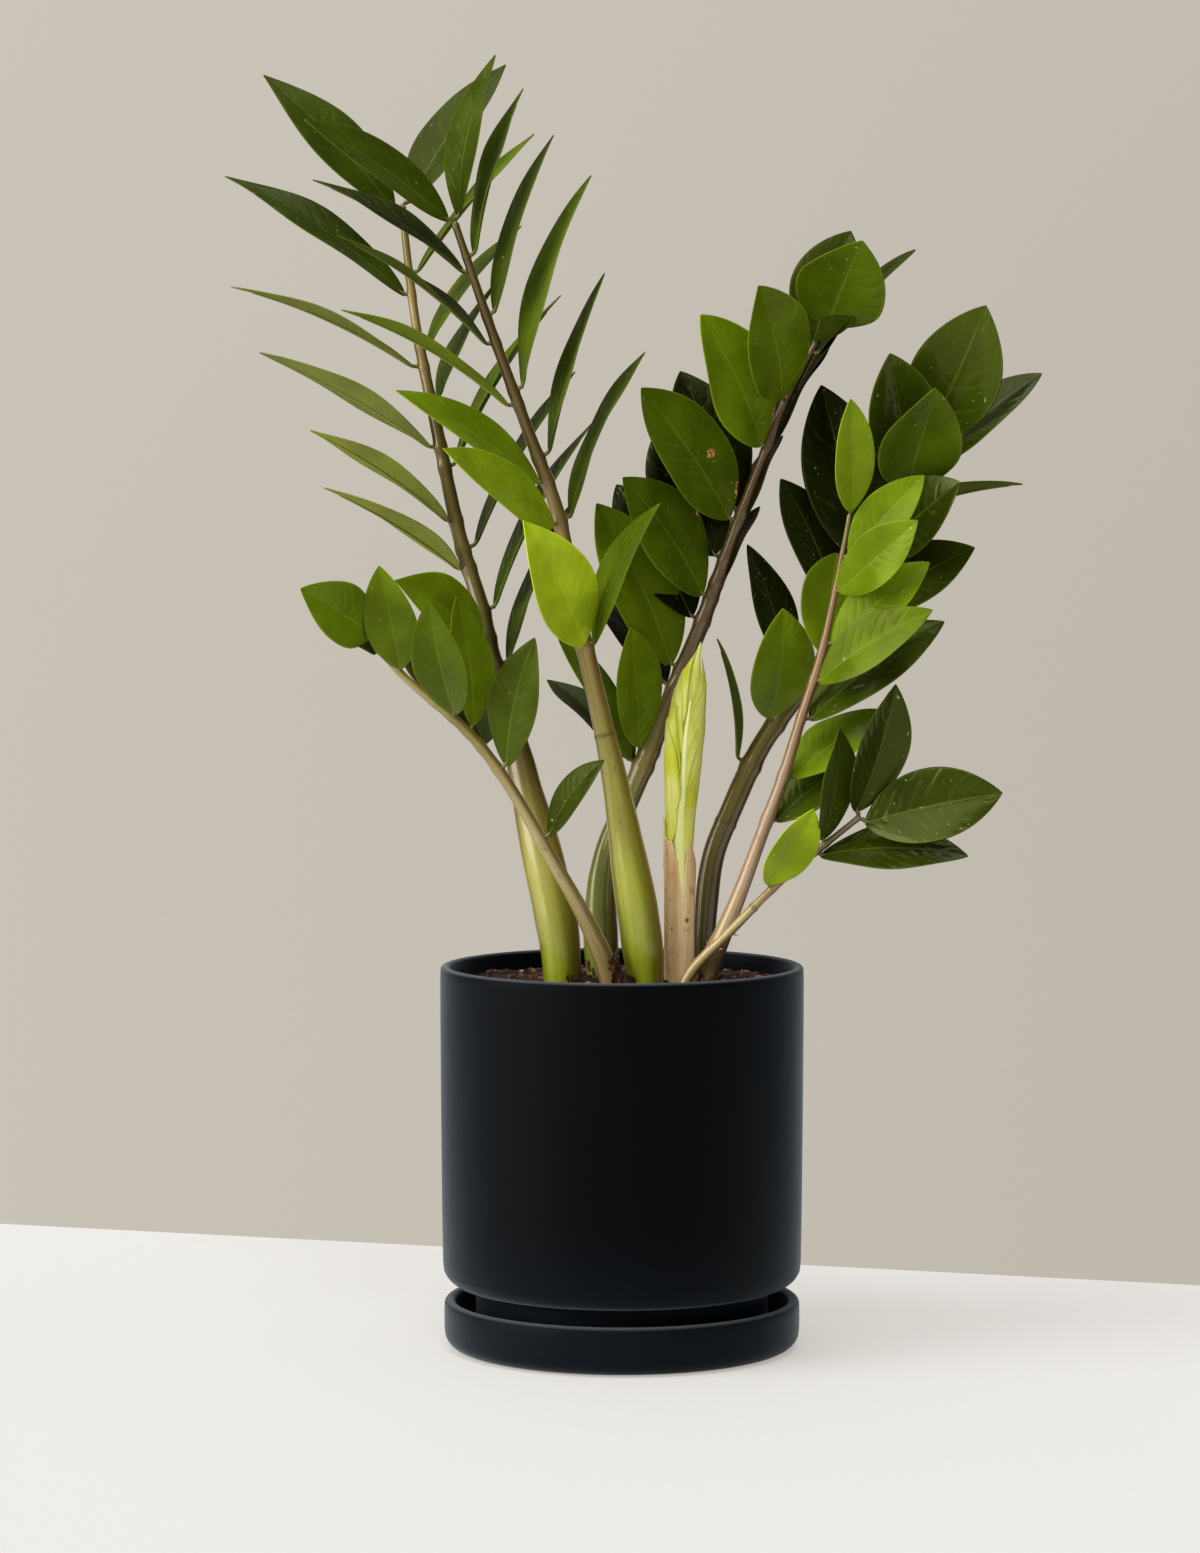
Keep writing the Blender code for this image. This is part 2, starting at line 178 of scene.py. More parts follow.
# %% [markdown]
# ## Helpers for shapes
#
# A stalk, a midrib and a root are all the same idea: a ring that travels along a line while it changes
# size. A curve object with a bevel could do it, but a mesh gives a say in every ring, so that a stalk
# can swell where a leaflet sits. It starts as a flat grid, which is rolled up and welded along its seam.

# %% Helpers for shapes
def add_object(name, data):
    made = bpy.data.objects.new(name, data)
    bpy.context.scene.collection.objects.link(made)
    return made


def mesh_of(name, shape, materials):
    """A mesh with the shape of a bmesh, which is then freed."""
    mesh = bpy.data.meshes.new(name)
    shape.to_mesh(mesh)
    shape.free()
    for material in materials:
        mesh.materials.append(material)
    return mesh


def finish_piece(name, shape, materials, replaced=None, angle=50.0, rounded=False):
    """Turns a bmesh into a smooth-shaded object that rides on the plant's one body.

    replaced is the CAD node whose place it takes. Edges sharper than the angle, in degrees, stay sharp.
    rounded divides every face once, into smaller ones that follow the curve.
    """
    mesh = mesh_of(name, shape, materials)
    mesh.shade_smooth()
    mesh.set_sharp_from_angle(angle=math.radians(angle))
    piece = add_object(name, mesh)
    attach(piece, "root")
    if replaced:
        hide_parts(replaced)
    if rounded:
        smoother = piece.modifiers.new("smoother", "SUBSURF")
        smoother.levels = smoother.render_levels = 1
    return piece


def crosswise(direction, like=FRONT):
    """Two unit vectors square to a direction, the first as near to like as can be."""
    first = (like - like.dot(direction) * direction).normalized()
    return first, direction.cross(first)


def outward(direction, turn, like=FRONT):
    """The unit vector square to a direction that is turned by an angle from like towards the right."""
    first, second = crosswise(direction, like)
    return math.cos(turn) * first + math.sin(turn) * second


def directions(points):
    ends = [points[0], *points, points[-1]]
    return [(ends[i + 2] - ends[i]).normalized() for i in range(len(points))]


def flat_grid(shape, across, along):
    """Adds a flat grid. Each vertex comes with its side, from -1 to 1, and its share along, from 0 to 1."""
    made = bmesh.ops.create_grid(shape, x_segments=across, y_segments=along, size=1.0)["verts"]
    return [(vert, vert.co.x, (vert.co.y + 1) / 2) for vert in made]


def thicken(shape, faces, thickness, material=0):
    """Gives an open sheet its thickness, on its back. The new faces get the material's number."""
    shape.normal_update()
    copied = bmesh.ops.extrude_face_region(shape, geom=faces, use_keep_orig=True)["geom"]
    for vert in [part for part in copied if isinstance(part, bmesh.types.BMVert)]:
        vert.co -= vert.normal * thickness
        for face in vert.link_faces:
            face.material_index = material
    bmesh.ops.recalc_face_normals(shape, faces=shape.faces)


def sweep(shape, points, radii, sides, like=FRONT, straight=None):
    """A closed tube along the points, whose rings start on the side that faces like.

    straight names a layer that keeps each vertex's place on the tube as if it had been pulled
    straight, in metres, so that streaks can run along it.
    """
    layer = shape.verts.layers.float_vector[straight] if straight else None
    steps = len(points) - 1
    ahead = directions(points)
    walked = np.cumsum([0.0] + [(points[i + 1] - points[i]).length for i in range(steps)])
    made = []
    for vert, side, share in flat_grid(shape, sides, steps):
        angle = math.tau * (round((side + 1) / 2 * sides) % sides) / sides
        step = round(share * steps)
        vert.co = points[step] + radii[step] * outward(ahead[step], angle, like)
        if layer:
            vert[layer] = (radii[step] * math.cos(angle), radii[step] * math.sin(angle), walked[step])
        made.append(vert)
    bmesh.ops.remove_doubles(shape, verts=made, dist=WELD)
    made = [vert for vert in made if vert.is_valid]
    ends = {edge for vert in made for edge in vert.link_edges if edge.is_boundary}
    bmesh.ops.holes_fill(shape, edges=list(ends), sides=sides)
    faces = {face for vert in made for face in vert.link_faces}
    bmesh.ops.recalc_face_normals(shape, faces=list(faces))
    return made


def smooth_route(points, share):
    """A point of the Catmull-Rom curve through the points, share running from 0 to 1."""
    last = len(points) - 1
    i = min(int(share * last), last - 1)
    t = share * last - i
    a, b, c, d = (points[min(max(i + k, 0), last)] for k in (-1, 0, 1, 2))
    return (2 * b + (c - a) * t + (2 * a - 5 * b + 4 * c - d) * t**2 + (3 * b - a - 3 * c + d) * t**3) / 2


def ease(value, start, end):
    """0 before start, 1 after end, and a smooth step between."""
    share = min(max((value - start) / (end - start), 0.0), 1.0)
    return share * share * (3 - 2 * share)


def merged_copy(node):
    """A bmesh of a CAD node with its loose triangles joined up."""
    shape = bmesh.new()
    shape.from_mesh(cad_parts[node].data)
    bmesh.ops.remove_doubles(shape, verts=shape.verts, dist=WELD)
    return shape

# %% [markdown]
# ## The camera
#
# The camera stands almost level with the plant, a little to the left of the pot's middle and tilted
# down by three degrees. A long lens keeps the pot's sides upright and the rims as thin ellipses.

# %% The camera
CAMERA_PLACE = Vector((-9.2, -1820.0, 345.0)) * MM
CAMERA_TILT = 3.33  # degrees below level
CAMERA_LENS = 101.3

camera = add_object("camera", bpy.data.cameras.new("camera"))
bpy.context.scene.camera = camera
camera.location = CAMERA_PLACE
camera.rotation_euler = (math.radians(90 - CAMERA_TILT), 0.0, 0.0)
camera.data.lens = CAMERA_LENS
print(f"camera {CAMERA_PLACE.length:.2f} m from the saucer")

# %% [markdown]
# ## Table and wall
#
# The plant stands on a pale table whose back edge runs off at a slant, with a warm grey wall some way
# behind it. Both give off a little light of their own, so that the lamps can be set for the plant alone.

# %% Table and wall
EDGE_LEFT = Vector((-304.0, 316.0, 0.0)) * MM  # two points on the table's back edge
EDGE_RIGHT = Vector((260.0, 143.0, 0.0)) * MM
TABLE_SIZE = 6.0
WALL_PLACE = 3.4  # how far the wall stands behind the pot
WALL_WIDTH, WALL_HEIGHT = 5.0, 4.0
WALL_SHADE_REACH, WALL_SHADE_HEIGHT = 1.3, 1.6  # over which the wall's colour changes


def stage_piece(name, shape, material):
    piece = add_object(name, mesh_of(name, shape, [material]))
    print(f"{name}: {len(piece.data.polygons)} face")


def make_table():
    """The table's own light is warm, and keeps the shadow on it pale."""
    material = start_material("table_top", Base_Color=(0.34, 0.36, 0.375, 1), Roughness=0.8,
                              Emission_Color=(0.43, 0.395, 0.355, 1), Emission_Strength=1.0)[0]
    shape = bmesh.new()
    bmesh.ops.create_grid(shape, x_segments=1, y_segments=1, size=TABLE_SIZE)
    edge = (EDGE_RIGHT - EDGE_LEFT).normalized()
    behind = Vector((-edge.y, edge.x, 0.0))
    bmesh.ops.bisect_plane(shape, geom=[*shape.verts, *shape.edges, *shape.faces],
                           plane_co=EDGE_LEFT, plane_no=behind, clear_outer=True)
    stage_piece("table", shape, material)


def make_wall():
    """The wall gives off all of its colour, which is a little lighter on the left and higher up."""
    material, tree, shader = start_material("wall_paint", Base_Color=(0, 0, 0, 1), Roughness=1.0,
                                            Emission_Strength=1.0)
    axes = parts_of(tree, place_of(tree))
    across = step_between(tree, axes["X"], -WALL_SHADE_REACH, WALL_SHADE_REACH)
    up = step_between(tree, axes["Z"], 0.0, WALL_SHADE_HEIGHT)
    low = blended(tree, across, paint("c8c2b6"), paint("bcb4a9"))
    high = blended(tree, across, paint("cdc5ba"), paint("c2bab0"))
    drive(tree, shader, Emission_Color=blended(tree, up, low, high))
    shape = bmesh.new()
    bmesh.ops.create_grid(shape, x_segments=1, y_segments=1, size=0.5)
    bmesh.ops.scale(shape, verts=shape.verts, vec=(WALL_WIDTH, WALL_HEIGHT, 1.0))
    bmesh.ops.rotate(shape, verts=shape.verts, matrix=Matrix.Rotation(math.radians(90), 3, "X"))
    bmesh.ops.translate(shape, verts=shape.verts, vec=(0.0, WALL_PLACE, 0.0))
    stage_piece("wall", shape, material)


make_table()
make_wall()

# %% [markdown]
# ## Light
#
# A broad window low on the left models the stalks, and a soft light from above gives the shadow on the
# right. One small lamp in front draws the thin highlights on the waxy stalks and leaflets, and two faint,
# soft ones fill what the others leave dark. Each is a sun, because a sun's light is as strong on the
# table's far corner as on the pot, and its spread sets how soft the shadow's edge is.

# %% Light
# name: (azimuth, elevation, strength, spread, colour), with the angles in degrees. The azimuth is 0 on
# the camera's side and 90 on the left.
SUNS = {
    "window": (66, 14, 3.2, 50, (1.0, 0.985, 0.96)),
    "key": (50, 56, 0.5, 45, (1.0, 0.985, 0.96)),
    "top": (60, 76, 1.9, 90, (1.0, 0.99, 0.975)),
    "lamp": (-8, 58, 0.55, 12, (1.0, 0.99, 0.97)),
    "front": (10, 20, 0.25, 60, (1.0, 0.99, 0.98)),
}
ROOM_LIGHT = (0.07, 0.068, 0.066, 1)  # from all round
ROOM_COLOUR = "c5beb3"  # what is seen past the wall's edges


def add_sun(name, azimuth, elevation, strength, spread, colour):
    lamp = add_object(name, bpy.data.lights.new(name, "SUN"))
    turn, rise = math.radians(azimuth), math.radians(elevation)
    source = Vector((-math.sin(turn) * math.cos(rise), -math.cos(turn) * math.cos(rise), math.sin(rise)))
    lamp.rotation_euler = source.to_track_quat("Z", "Y").to_euler()
    lamp.data.energy = strength
    lamp.data.angle = math.radians(spread)
    lamp.data.color = colour


def fill_the_room():
    world = bpy.data.worlds.new("room")
    bpy.context.scene.world = world
    world.use_nodes = True
    tree = world.node_tree
    seen = add_node(tree, "LightPath").outputs["Is Camera Ray"]
    colour = blended(tree, seen, ROOM_LIGHT, paint(ROOM_COLOUR))
    tree.links.new(colour, tree.nodes["Background"].inputs["Color"])
    bpy.context.scene.view_settings.view_transform = "Standard"


for name, settings in SUNS.items():
    add_sun(name, *settings)
fill_the_room()
print(f"{len(SUNS)} suns")

# %% [markdown]
# ## The pot and its saucer
#
# Both are turned: stoneware thrown on a wheel, with a matte near-black glaze. The CAD solids have the
# right shape, but only a few dozen flat sides, which would show on the rims. So the outline is read back
# off the CAD solid, by cutting it down the middle, and spun again with many more steps. The finer pot is
# then exactly as large as the CAD one. The sharp corners of the foot and of the drain hole get a
# small bevel, as glaze never leaves a sharp edge.

# %% Cutting an outline and spinning it
SPIN_STEPS = 128
CORNER_SOFTNESS = 0.6 * MM
CORNER_ANGLE = math.radians(40)
STRAIGHT_ANGLE = math.radians(0.5)  # a smaller turn in an outline is no corner


def outline_of(node):
    """Half of a turned CAD node's section, as edges from its axis to its side."""
    outline = merged_copy(node)
    for normal, through in (((-1, 0, 0), False), ((0, 1, 0), True)):
        geom = [*outline.verts, *outline.edges, *outline.faces]
        bmesh.ops.bisect_plane(outline, geom=geom, dist=WELD, plane_co=(0, 0, 0), plane_no=normal,
                               clear_outer=True, clear_inner=through)
    inner = [vert for vert in outline.verts if len(vert.link_edges) == 2]
    straight = [vert for vert in inner if vert.calc_edge_angle() < STRAIGHT_ANGLE]
    bmesh.ops.dissolve_verts(outline, verts=straight)
    return outline


def make_turned(name, node, material):
    shape = outline_of(node)
    points = len(shape.verts)
    bmesh.ops.spin(shape, geom=[*shape.verts, *shape.edges], cent=(0, 0, 0), axis=(0, 0, 1),
                   dvec=(0, 0, 0), angle=math.tau, steps=SPIN_STEPS, use_merge=True)
    bmesh.ops.remove_doubles(shape, verts=shape.verts, dist=WELD)
    bmesh.ops.recalc_face_normals(shape, faces=shape.faces)
    corners = [edge for edge in shape.edges if edge.is_manifold and edge.calc_face_angle() > CORNER_ANGLE]
    bmesh.ops.bevel(shape, geom=corners, offset=CORNER_SOFTNESS, offset_type="OFFSET", segments=2,
                    profile=0.5, affect="EDGES", material=-1)
    piece = finish_piece(name, shape, [material], node, rounded=True)
    print(f"{name}: {points} outline points, {len(piece.data.polygons)} faces before rounding")

# %% [markdown]
# ## Matte glaze
#
# The glaze is close to black with a little blue in it, and so dull that it only catches light where the
# side turns away. A little sheen, which is strongest at the edge, gives that dull, dusty gleam. The colour
# is painted paler towards the foot, which is painted light as if thrown up from the table, and a thin
# paler band along the upper edge is a painted highlight. Two noises keep it from looking like plastic: a
# broad one moves the colour and the dullness a little, as a dipped glaze pools, and a very fine one is the
# dry, eggshell-like surface.

# %% Matte glaze
GLAZE_DEEP = (0.0006, 0.0009, 0.0014, 1), (0.0012, 0.0017, 0.0025, 1)
# Painted light: the paler colour at the foot stands in for light thrown up from the table.
GLAZE_PAINTED_BOUNCE = (0.0036, 0.0054, 0.0074, 1)
# Painted highlight: a paler colour along the upper edge of the pot and of the saucer.
GLAZE_PAINTED_RIM_HIGHLIGHT = (0.050, 0.055, 0.062, 1)
PAINTED_BOUNCE_FADE = 8 * MM, 62 * MM  # the heights over which the painted light from the table fades out


def make_glaze(name, node):
    material, tree, shader = start_material(name, Specular_IOR_Level=0.03, Sheen_Weight=0.25,
                                            Sheen_Roughness=0.39, Sheen_Tint=(0.68, 0.84, 1.0, 1))
    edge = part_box(node)[1].z
    place = place_of(tree)
    height = parts_of(tree, place)["Z"]
    pooling = noise_of(tree, place, 14.0, 4.0)
    eggshell = noise_of(tree, place, 1400.0, 2.0)
    deep = blended(tree, pooling, *GLAZE_DEEP)
    # Painted light: paler towards the foot, as if lit from the table below.
    with_painted_bounce = blended(tree, step_between(tree, height, *PAINTED_BOUNCE_FADE, 1.0, 0.0), deep, GLAZE_PAINTED_BOUNCE)
    # Painted highlight: a thin paler band just under the upper edge.
    rim_highlight = step_between(tree, height, edge - 1.3 * MM, edge - 0.3 * MM)
    rough = step_between(tree, pooling, 0.3, 0.7, 0.40, 0.50)
    soft_dents = bumped(tree, pooling, 0.25 * MM, 0.4)
    drive(tree, shader, Base_Color=blended(tree, rim_highlight, with_painted_bounce, GLAZE_PAINTED_RIM_HIGHLIGHT), Roughness=rough,
          Normal=bumped(tree, eggshell, 0.02 * MM, 0.7, soft_dents))
    return material


make_turned("glazed_pot", "pot", make_glaze("matte_black_glaze", "pot"))
make_turned("glazed_saucer", "saucer", make_glaze("matte_black_saucer_glaze", "saucer"))

# %% [markdown]
# ## Reading the stalks off the CAD model
#
# The seven stalks bend and taper, so their middle lines are measured rather than written down again:
# each CAD stalk is sliced level every few millimetres. The middle of a slice is a point on the line,
# and the slice's widest reach square to the line is the radius there. Everything that grows on a stalk,
# such as a leaflet, a ridge or a streak, then finds its place from this one line.

# %% Reading the stalks
SLICE_STEP = 6.0 * MM
SLICE_MARGIN = 4.0 * MM  # slices stop this far below the tip, which is cut off square to the stalk


def slice_at(ends, level):
    """Where the edges cross a height. ends holds the two ends of each edge."""
    below, above = ends[:, 0], ends[:, 1]
    crossing = (below[:, 2] - level) * (above[:, 2] - level) < 0
    below, above = below[crossing], above[crossing]
    share = (level - below[:, 2]) / (above[:, 2] - below[:, 2])
    return below + (above - below) * share[:, None]


def measured_line(node, step=SLICE_STEP, margin=SLICE_MARGIN):
    """(points, radii) along the middle of a CAD stalk, from its buried end to its tip."""
    shape = merged_copy(node)
    ends = np.array([[vert.co for vert in edge.verts] for edge in shape.edges])
    corners = np.array([vert.co for vert in shape.verts])
    shape.free()
    low, high = corners[:, 2].min(), corners[:, 2].max()
    levels = np.arange(low + MM / 2, high - margin, step)
    slices = [slice_at(ends, level) for level in levels]
    points = [Vector((cut.min(0) + cut.max(0)) / 2) for cut in slices]
    radii = []
    for cut, ahead in zip(slices, directions(points)):
        offsets = cut - cut.mean(0)
        square = offsets - np.outer(offsets @ np.array(ahead), np.array(ahead))
        radii.append(float(np.linalg.norm(square, axis=1).max()))
    ahead = (points[-1] - points[-2]).normalized()
    reach = float(((corners - np.array(points[-1])) @ np.array(ahead)).max())
    return [*points, points[-1] + ahead * reach], [*radii, radii[-1]]


def eased_line(points, radii):
    """The line with its small kinks taken out. Its two ends stay."""
    rows = [Vector((*point, radius)) for point, radius in zip(points, radii)]
    inner = [(rows[i - 1] + 2 * rows[i] + rows[i + 1]) / 4 for i in range(1, len(rows) - 1)]
    return [rows[0], *inner, rows[-1]]


STALKS = [node for node in sorted(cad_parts) if node.endswith("_stalk")]
LINES = {node.removesuffix("_stalk"): eased_line(*measured_line(node)) for node in STALKS}
LINES["shoot"] = eased_line(*measured_line("new_shoot", step=3.0 * MM, margin=1.0 * MM))
for name, line in LINES.items():
    print(f"{name}: {len(line)} points, foot {line[3].w / MM:.1f} mm, tip {line[-1].w / MM:.1f} mm")


def place_on(line, height):
    """(middle, direction, radius) on a line at a height over the soil, in metres."""
    level = SOIL_Z + height
    i = next((i for i in range(1, len(line) - 1) if line[i].z >= level), len(line) - 1)
    low, high = line[i - 1], line[i]
    spot = low.lerp(high, min((level - low.z) / (high.z - low.z), 1.0))
    return spot.xyz, (high.xyz - low.xyz).normalized(), spot.w


def nearest_on(line, point):
    """The point of a line nearest to another point, as (middle, direction, radius)."""
    i = min(range(1, len(line) - 1), key=lambda k: (line[k].xyz - point).length)
    ahead = (line[i + 1].xyz - line[i - 1].xyz).normalized()
    return line[i].xyz + ahead * ahead.dot(point - line[i].xyz), ahead, line[i].w


# %% [markdown]
# ## Where the leaflets sit
#
# A ZZ plant's leaf is compound: a thick stalk carries two rows of leaflets. The CAD model has the ones
# that shape the outline. Their place, direction, length and width are measured from their solids: the
# two corners that are furthest apart are the base and the tip, the widest spread square to that line is
# the width, and the side to which the blade bulges is its upper face. The many leaflets that hide
# behind those are added on the same stalks, with the same angles that a leaflet can have.

# %% Where the CAD leaflets sit
def measured_leaflet(node, line):
    """(base, axes, length, width) of a CAD leaflet. The axes are across, along and face."""
    corners = np.array([vert.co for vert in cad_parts[node].data.vertices])
    gaps = np.linalg.norm(corners[:, None] - corners[None], axis=2)
    first, second = (Vector(corners[k]) for k in np.unravel_index(gaps.argmax(), gaps.shape))
    away = [(end - nearest_on(line, end)[0]).length for end in (first, second)]
    base, tip = (first, second) if away[0] < away[1] else (second, first)
    along = (tip - base).normalized()
    offsets = corners - np.array(base)
    offsets -= np.outer(offsets @ np.array(along), np.array(along))
    spread = Vector(np.linalg.svd(offsets - offsets.mean(0))[2][0])
    face = along.cross(spread).normalized()
    if face.dot(Vector(offsets.mean(0))) < 0:
        face = -face
    across = along.cross(face)
    reach = offsets @ np.array(across)
    return base, (across, along, face), (tip - base).length, float(reach.max() - reach.min())


# %% Where the hidden leaflets sit
STEM_REACH = 1.7 * MM  # from a stalk's skin to where a blade starts

# Each row: height on the stalk, lean, toward, turn, length, width, in mm and degrees.
# lean: from upright, to the right as seen from the front. toward: to the viewer.
# turn: 0 shows the upper face to the front, 90 shows the edge with that face towards the stalk.
HIDDEN_LEAFLETS = {
    "tall_left": {
        "left": [],
        "right": [
            (266, 38, -25, 75, 72, 26), (244, 27, -30, 75, 70, 26), (180, 31, 0, 78, 85, 26),
            (154, 29, 0, 75, 89, 26), (131, 22, 0, 75, 75, 26),
        ],
    },
    "tall_centre": {
        "left": [],
        "right": [(300, 16, 0, 72, 71, 26), (218, 18, 0, 78, 78, 26)],
    },
    "low_left": {
        "left": [
            (140, -48, 15, 60, 40, 22), (135, -20, -50, 40, 44, 22), (118, -25, -55, 40, 50, 22),
            (100, -25, -60, 40, 48, 22), (106, -8, -10, 40, 54, 22),
        ],
        "right": [(62, 34, 30, 45, 45, 16)],
    },
    "middle_right": {
        "left": [
            (89, -29, 5, 60, 60, 24), (89, -48, -35, 60, 60, 26), (122, -38, -30, 50, 60, 28),
            (196, -21, -14, 25, 64, 34), (176, -25, -14, 20, 60, 35), (150, -29, -12, 25, 66, 33),
        ],
        "right": [
            (267, 18, 20, 20, 50, 34), (263, 42, 5, 80, 60, 28), (247, 36, -10, 72, 58, 30),
            (224, 28, -12, 72, 56, 32), (190, 26, -12, 74, 44, 30), (166, 26, -12, 76, 38, 26),
        ],
    },
    "back_right": {
        "left": [
            (120, -18, 0, 50, 62, 26), (152, -23, 0, 42, 61, 31), (172, -14, 0, 10, 78, 37),
            (210, -11, 30, 20, 60, 34), (89, -11, 0, 92, 52, 22),
        ],
        "right": [(199, 78, 20, 95, 50, 30), (180, 44, 40, 40, 52, 32)],
    },
    "front_right": {
        "left": [(138, 11, -30, 15, 48, 28)],
        "right": [(142, 49, 10, 30, 53, 23), (87, 54, -15, 45, 50, 26), (69, 53, -15, 45, 41, 26)],
    },
}


def leaflet_axes(lean, toward, turn, side):
    """(across, along, face) of a leaflet. side is 1 in the left row and -1 in the right row."""
    lean, toward, turn = (math.radians(angle) for angle in (lean, toward, turn))
    level = math.cos(toward)
    along = Vector((math.sin(lean) * level, -math.sin(toward), math.cos(lean) * level))
    front = (FRONT - FRONT.dot(along) * along).normalized()
    face = front * math.cos(turn) + along.cross(front) * side * math.sin(turn)
    return along.cross(face), along, face


def placed_leaflet(line, row, side):
    """(base, axes, length, width) of a leaflet from its row."""
    height, lean, toward, turn, length, width = row
    axes = leaflet_axes(lean, toward, turn, side)
    middle, upward, radius = place_on(line, height * MM)
    out = (axes[1] - axes[1].dot(upward) * upward).normalized()
    return middle + out * (radius + STEM_REACH), axes, length * MM, width * MM


def all_leaflets():
    """name: (leaf, base, axes, length, width) for every leaflet of the plant."""
    found = {}
    for node in sorted(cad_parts):
        leaf, kind, _ = node.partition("_leaflet_")
        if kind:
            found[node] = (leaf, *measured_leaflet(node, LINES[leaf]))
    for leaf, rows in HIDDEN_LEAFLETS.items():
        for word, side in (("left", 1), ("right", -1)):
            for number, row in enumerate(rows[word], start=1):
                found[f"{leaf}_back_{word}_{number}"] = (leaf, *placed_leaflet(LINES[leaf], row, side))
    return found


LEAFLETS = all_leaflets()
print(f"{len(LEAFLETS)} leaflets, {sum('_back_' in name for name in LEAFLETS)} of them not in the CAD model")

# %% [markdown]
# ## The stalks
#
# A stalk is a firm, fleshy rod. The two tall ones are swollen at the foot, where the plant stores water,
# and taper into a thin rib that carries the leaflets. Each is swept along its measured line with a
# slight thickening wherever a leaflet sits and a raised ring where the bare foot ends. The sweep also
# keeps each point's place as if the stalk were straight, because the fibres that streak the skin run
# along the stalk and not straight up.

# %% Sweeping a stalk
STALK_RING_STEP = 1.6 * MM
STALK_SIDES = 20
SWELLING = 0.14  # share of the radius that a stalk gains where a leaflet sits
SWELLING_LENGTH = 2.4 * MM
RING_SWELLING = 0.35 * MM
RING_LENGTH = 0.9 * MM
RIDGES = {"tall_centre": (104,), "back_right": (65,), "low_right": (33, 47)}  # heights in mm
UNEVENNESS = 0.05  # share of the radius that a stalk is thicker or thinner by
UNEVEN_PER_METRE = 70  # how often it changes along the stalk
TIP_BLUNTNESS = 0.06  # the square of the share of the radius that is left at the very tip


def length_of(points):
    return sum((after - point).length for point, after in zip(points, points[1:]))


def line_length(line):
    return length_of([point.xyz for point in line])


def length_to(line, height):
    """How long a line is from its start to a height over the soil, in metres."""
    spot = place_on(line, height)[0]
    return length_of([point.xyz for point in line if point.z < spot.z] + [spot])


def stalk_rings(name):
    """(points, radii) of a stalk's rings, evenly spaced, with its swellings."""
    line = LINES[name]
    steps = round(line_length(line) / STALK_RING_STEP)
    rings = [smooth_route(line, i / steps) for i in range(steps + 1)]
    seats = [nearest_on(line, leaflet[1])[0] for leaflet in LEAFLETS.values() if leaflet[0] == name]
    ridges = [place_on(line, height * MM)[0] for height in RIDGES.get(name, ())]
    radii = []
    for ring in rings:
        radius = ring.w * (1 + UNEVENNESS * noise.noise(ring.xyz * UNEVEN_PER_METRE))
        gap = min((seat - ring.xyz).length for seat in seats)
        radius += SWELLING * ring.w * math.exp(-((gap / SWELLING_LENGTH) ** 2))
        for ridge in ridges:
            radius += RING_SWELLING * math.exp(-(((ridge - ring.xyz).length / RING_LENGTH) ** 2))
        left = (rings[-1].xyz - ring.xyz).length / ring.w  # to the tip, which is rounded like a ball
        radii.append(radius * math.sqrt(max(1 - max(1 - left, 0.0) ** 2, TIP_BLUNTNESS)))
    return [ring.xyz for ring in rings], radii


def make_stalk(name, material):
    shape = bmesh.new()
    shape.verts.layers.float_vector.new("straight")
    points, radii = stalk_rings(name)
    sweep(shape, points, radii, STALK_SIDES, straight="straight")
    piece = finish_piece(f"{name}_stalk_skin", shape, [material], f"{name}_stalk")
    print(f"{piece.name}: {len(piece.data.polygons)} faces")


# %% [markdown]
# ## Stalk skin
#
# Each stalk ages in its own way: lime green where it is swollen and full of water, then olive, tan or
# brown along the rib. A ramp along the stalk holds those colours together with painted shade and painted
# light: it is darker where leaflets shade the stalk and lighter where the stalk catches the light. Both
# sides are darkened brown, the right one more, which is partly a brown tint and partly painted shade on
# the sides that turn away from the light. Long, thin noise makes the fibres and shorter noise the darker
# flecks, and a thin dark line goes round each ridge. The skin is waxy, so a fairly low roughness gives each
# stalk one long highlight, which the fibres break up.

# %% Stalk skin
# Ramp colours from foot to tip. Besides each stalk's own colours they hold painted shade and painted light:
# darker steps where leaflets shade a stalk, lighter ones where it catches the light.
STALK_COLOURS = {
    "tall_left": ["7f8c12", "a09a42", "62522a", "46391c", "7a6a38", "5a4c1c", "a48c54", "6a5c28"],
    "tall_centre": ["8b9a1a", "9ea034", "968e3e", "90783e", "8c7644", "5c4a22", "52401c", "5e5326"],
    "low_left": ["76643a", "8e7c4e", "a2925e", "a0925e", "94824e", "7d7034", "a4965a", "8a7e42"],
    "middle_right": ["74822a", "80883a", "82783e", "6e5a38", "624c30", "5c4826", "5a4028", "504023"],
    "back_right": ["3c3610", "4c4414", "5e541a", "665a20", "665a24", "62562a", "60572c", "5a5426"],
    "front_right": ["9a8050", "b49c74", "b89a7e", "a4886c", "987656", "967052", "8a6c46", "75682e"],
    "low_right": ["8c7c50", "a4905e", "b8a474", "b4a46c", "8e7844", "7d7045", "5e5430", "86725a"],
}
# A brown tint and painted shade in one, which darkens the sides of a stalk.
FLUSH_AND_SHADE_COLOUR = (0.52, 0.38, 0.20, 1)
BURIED_SHARE = 0.05  # the part of a stalk below the soil, as a share of its length


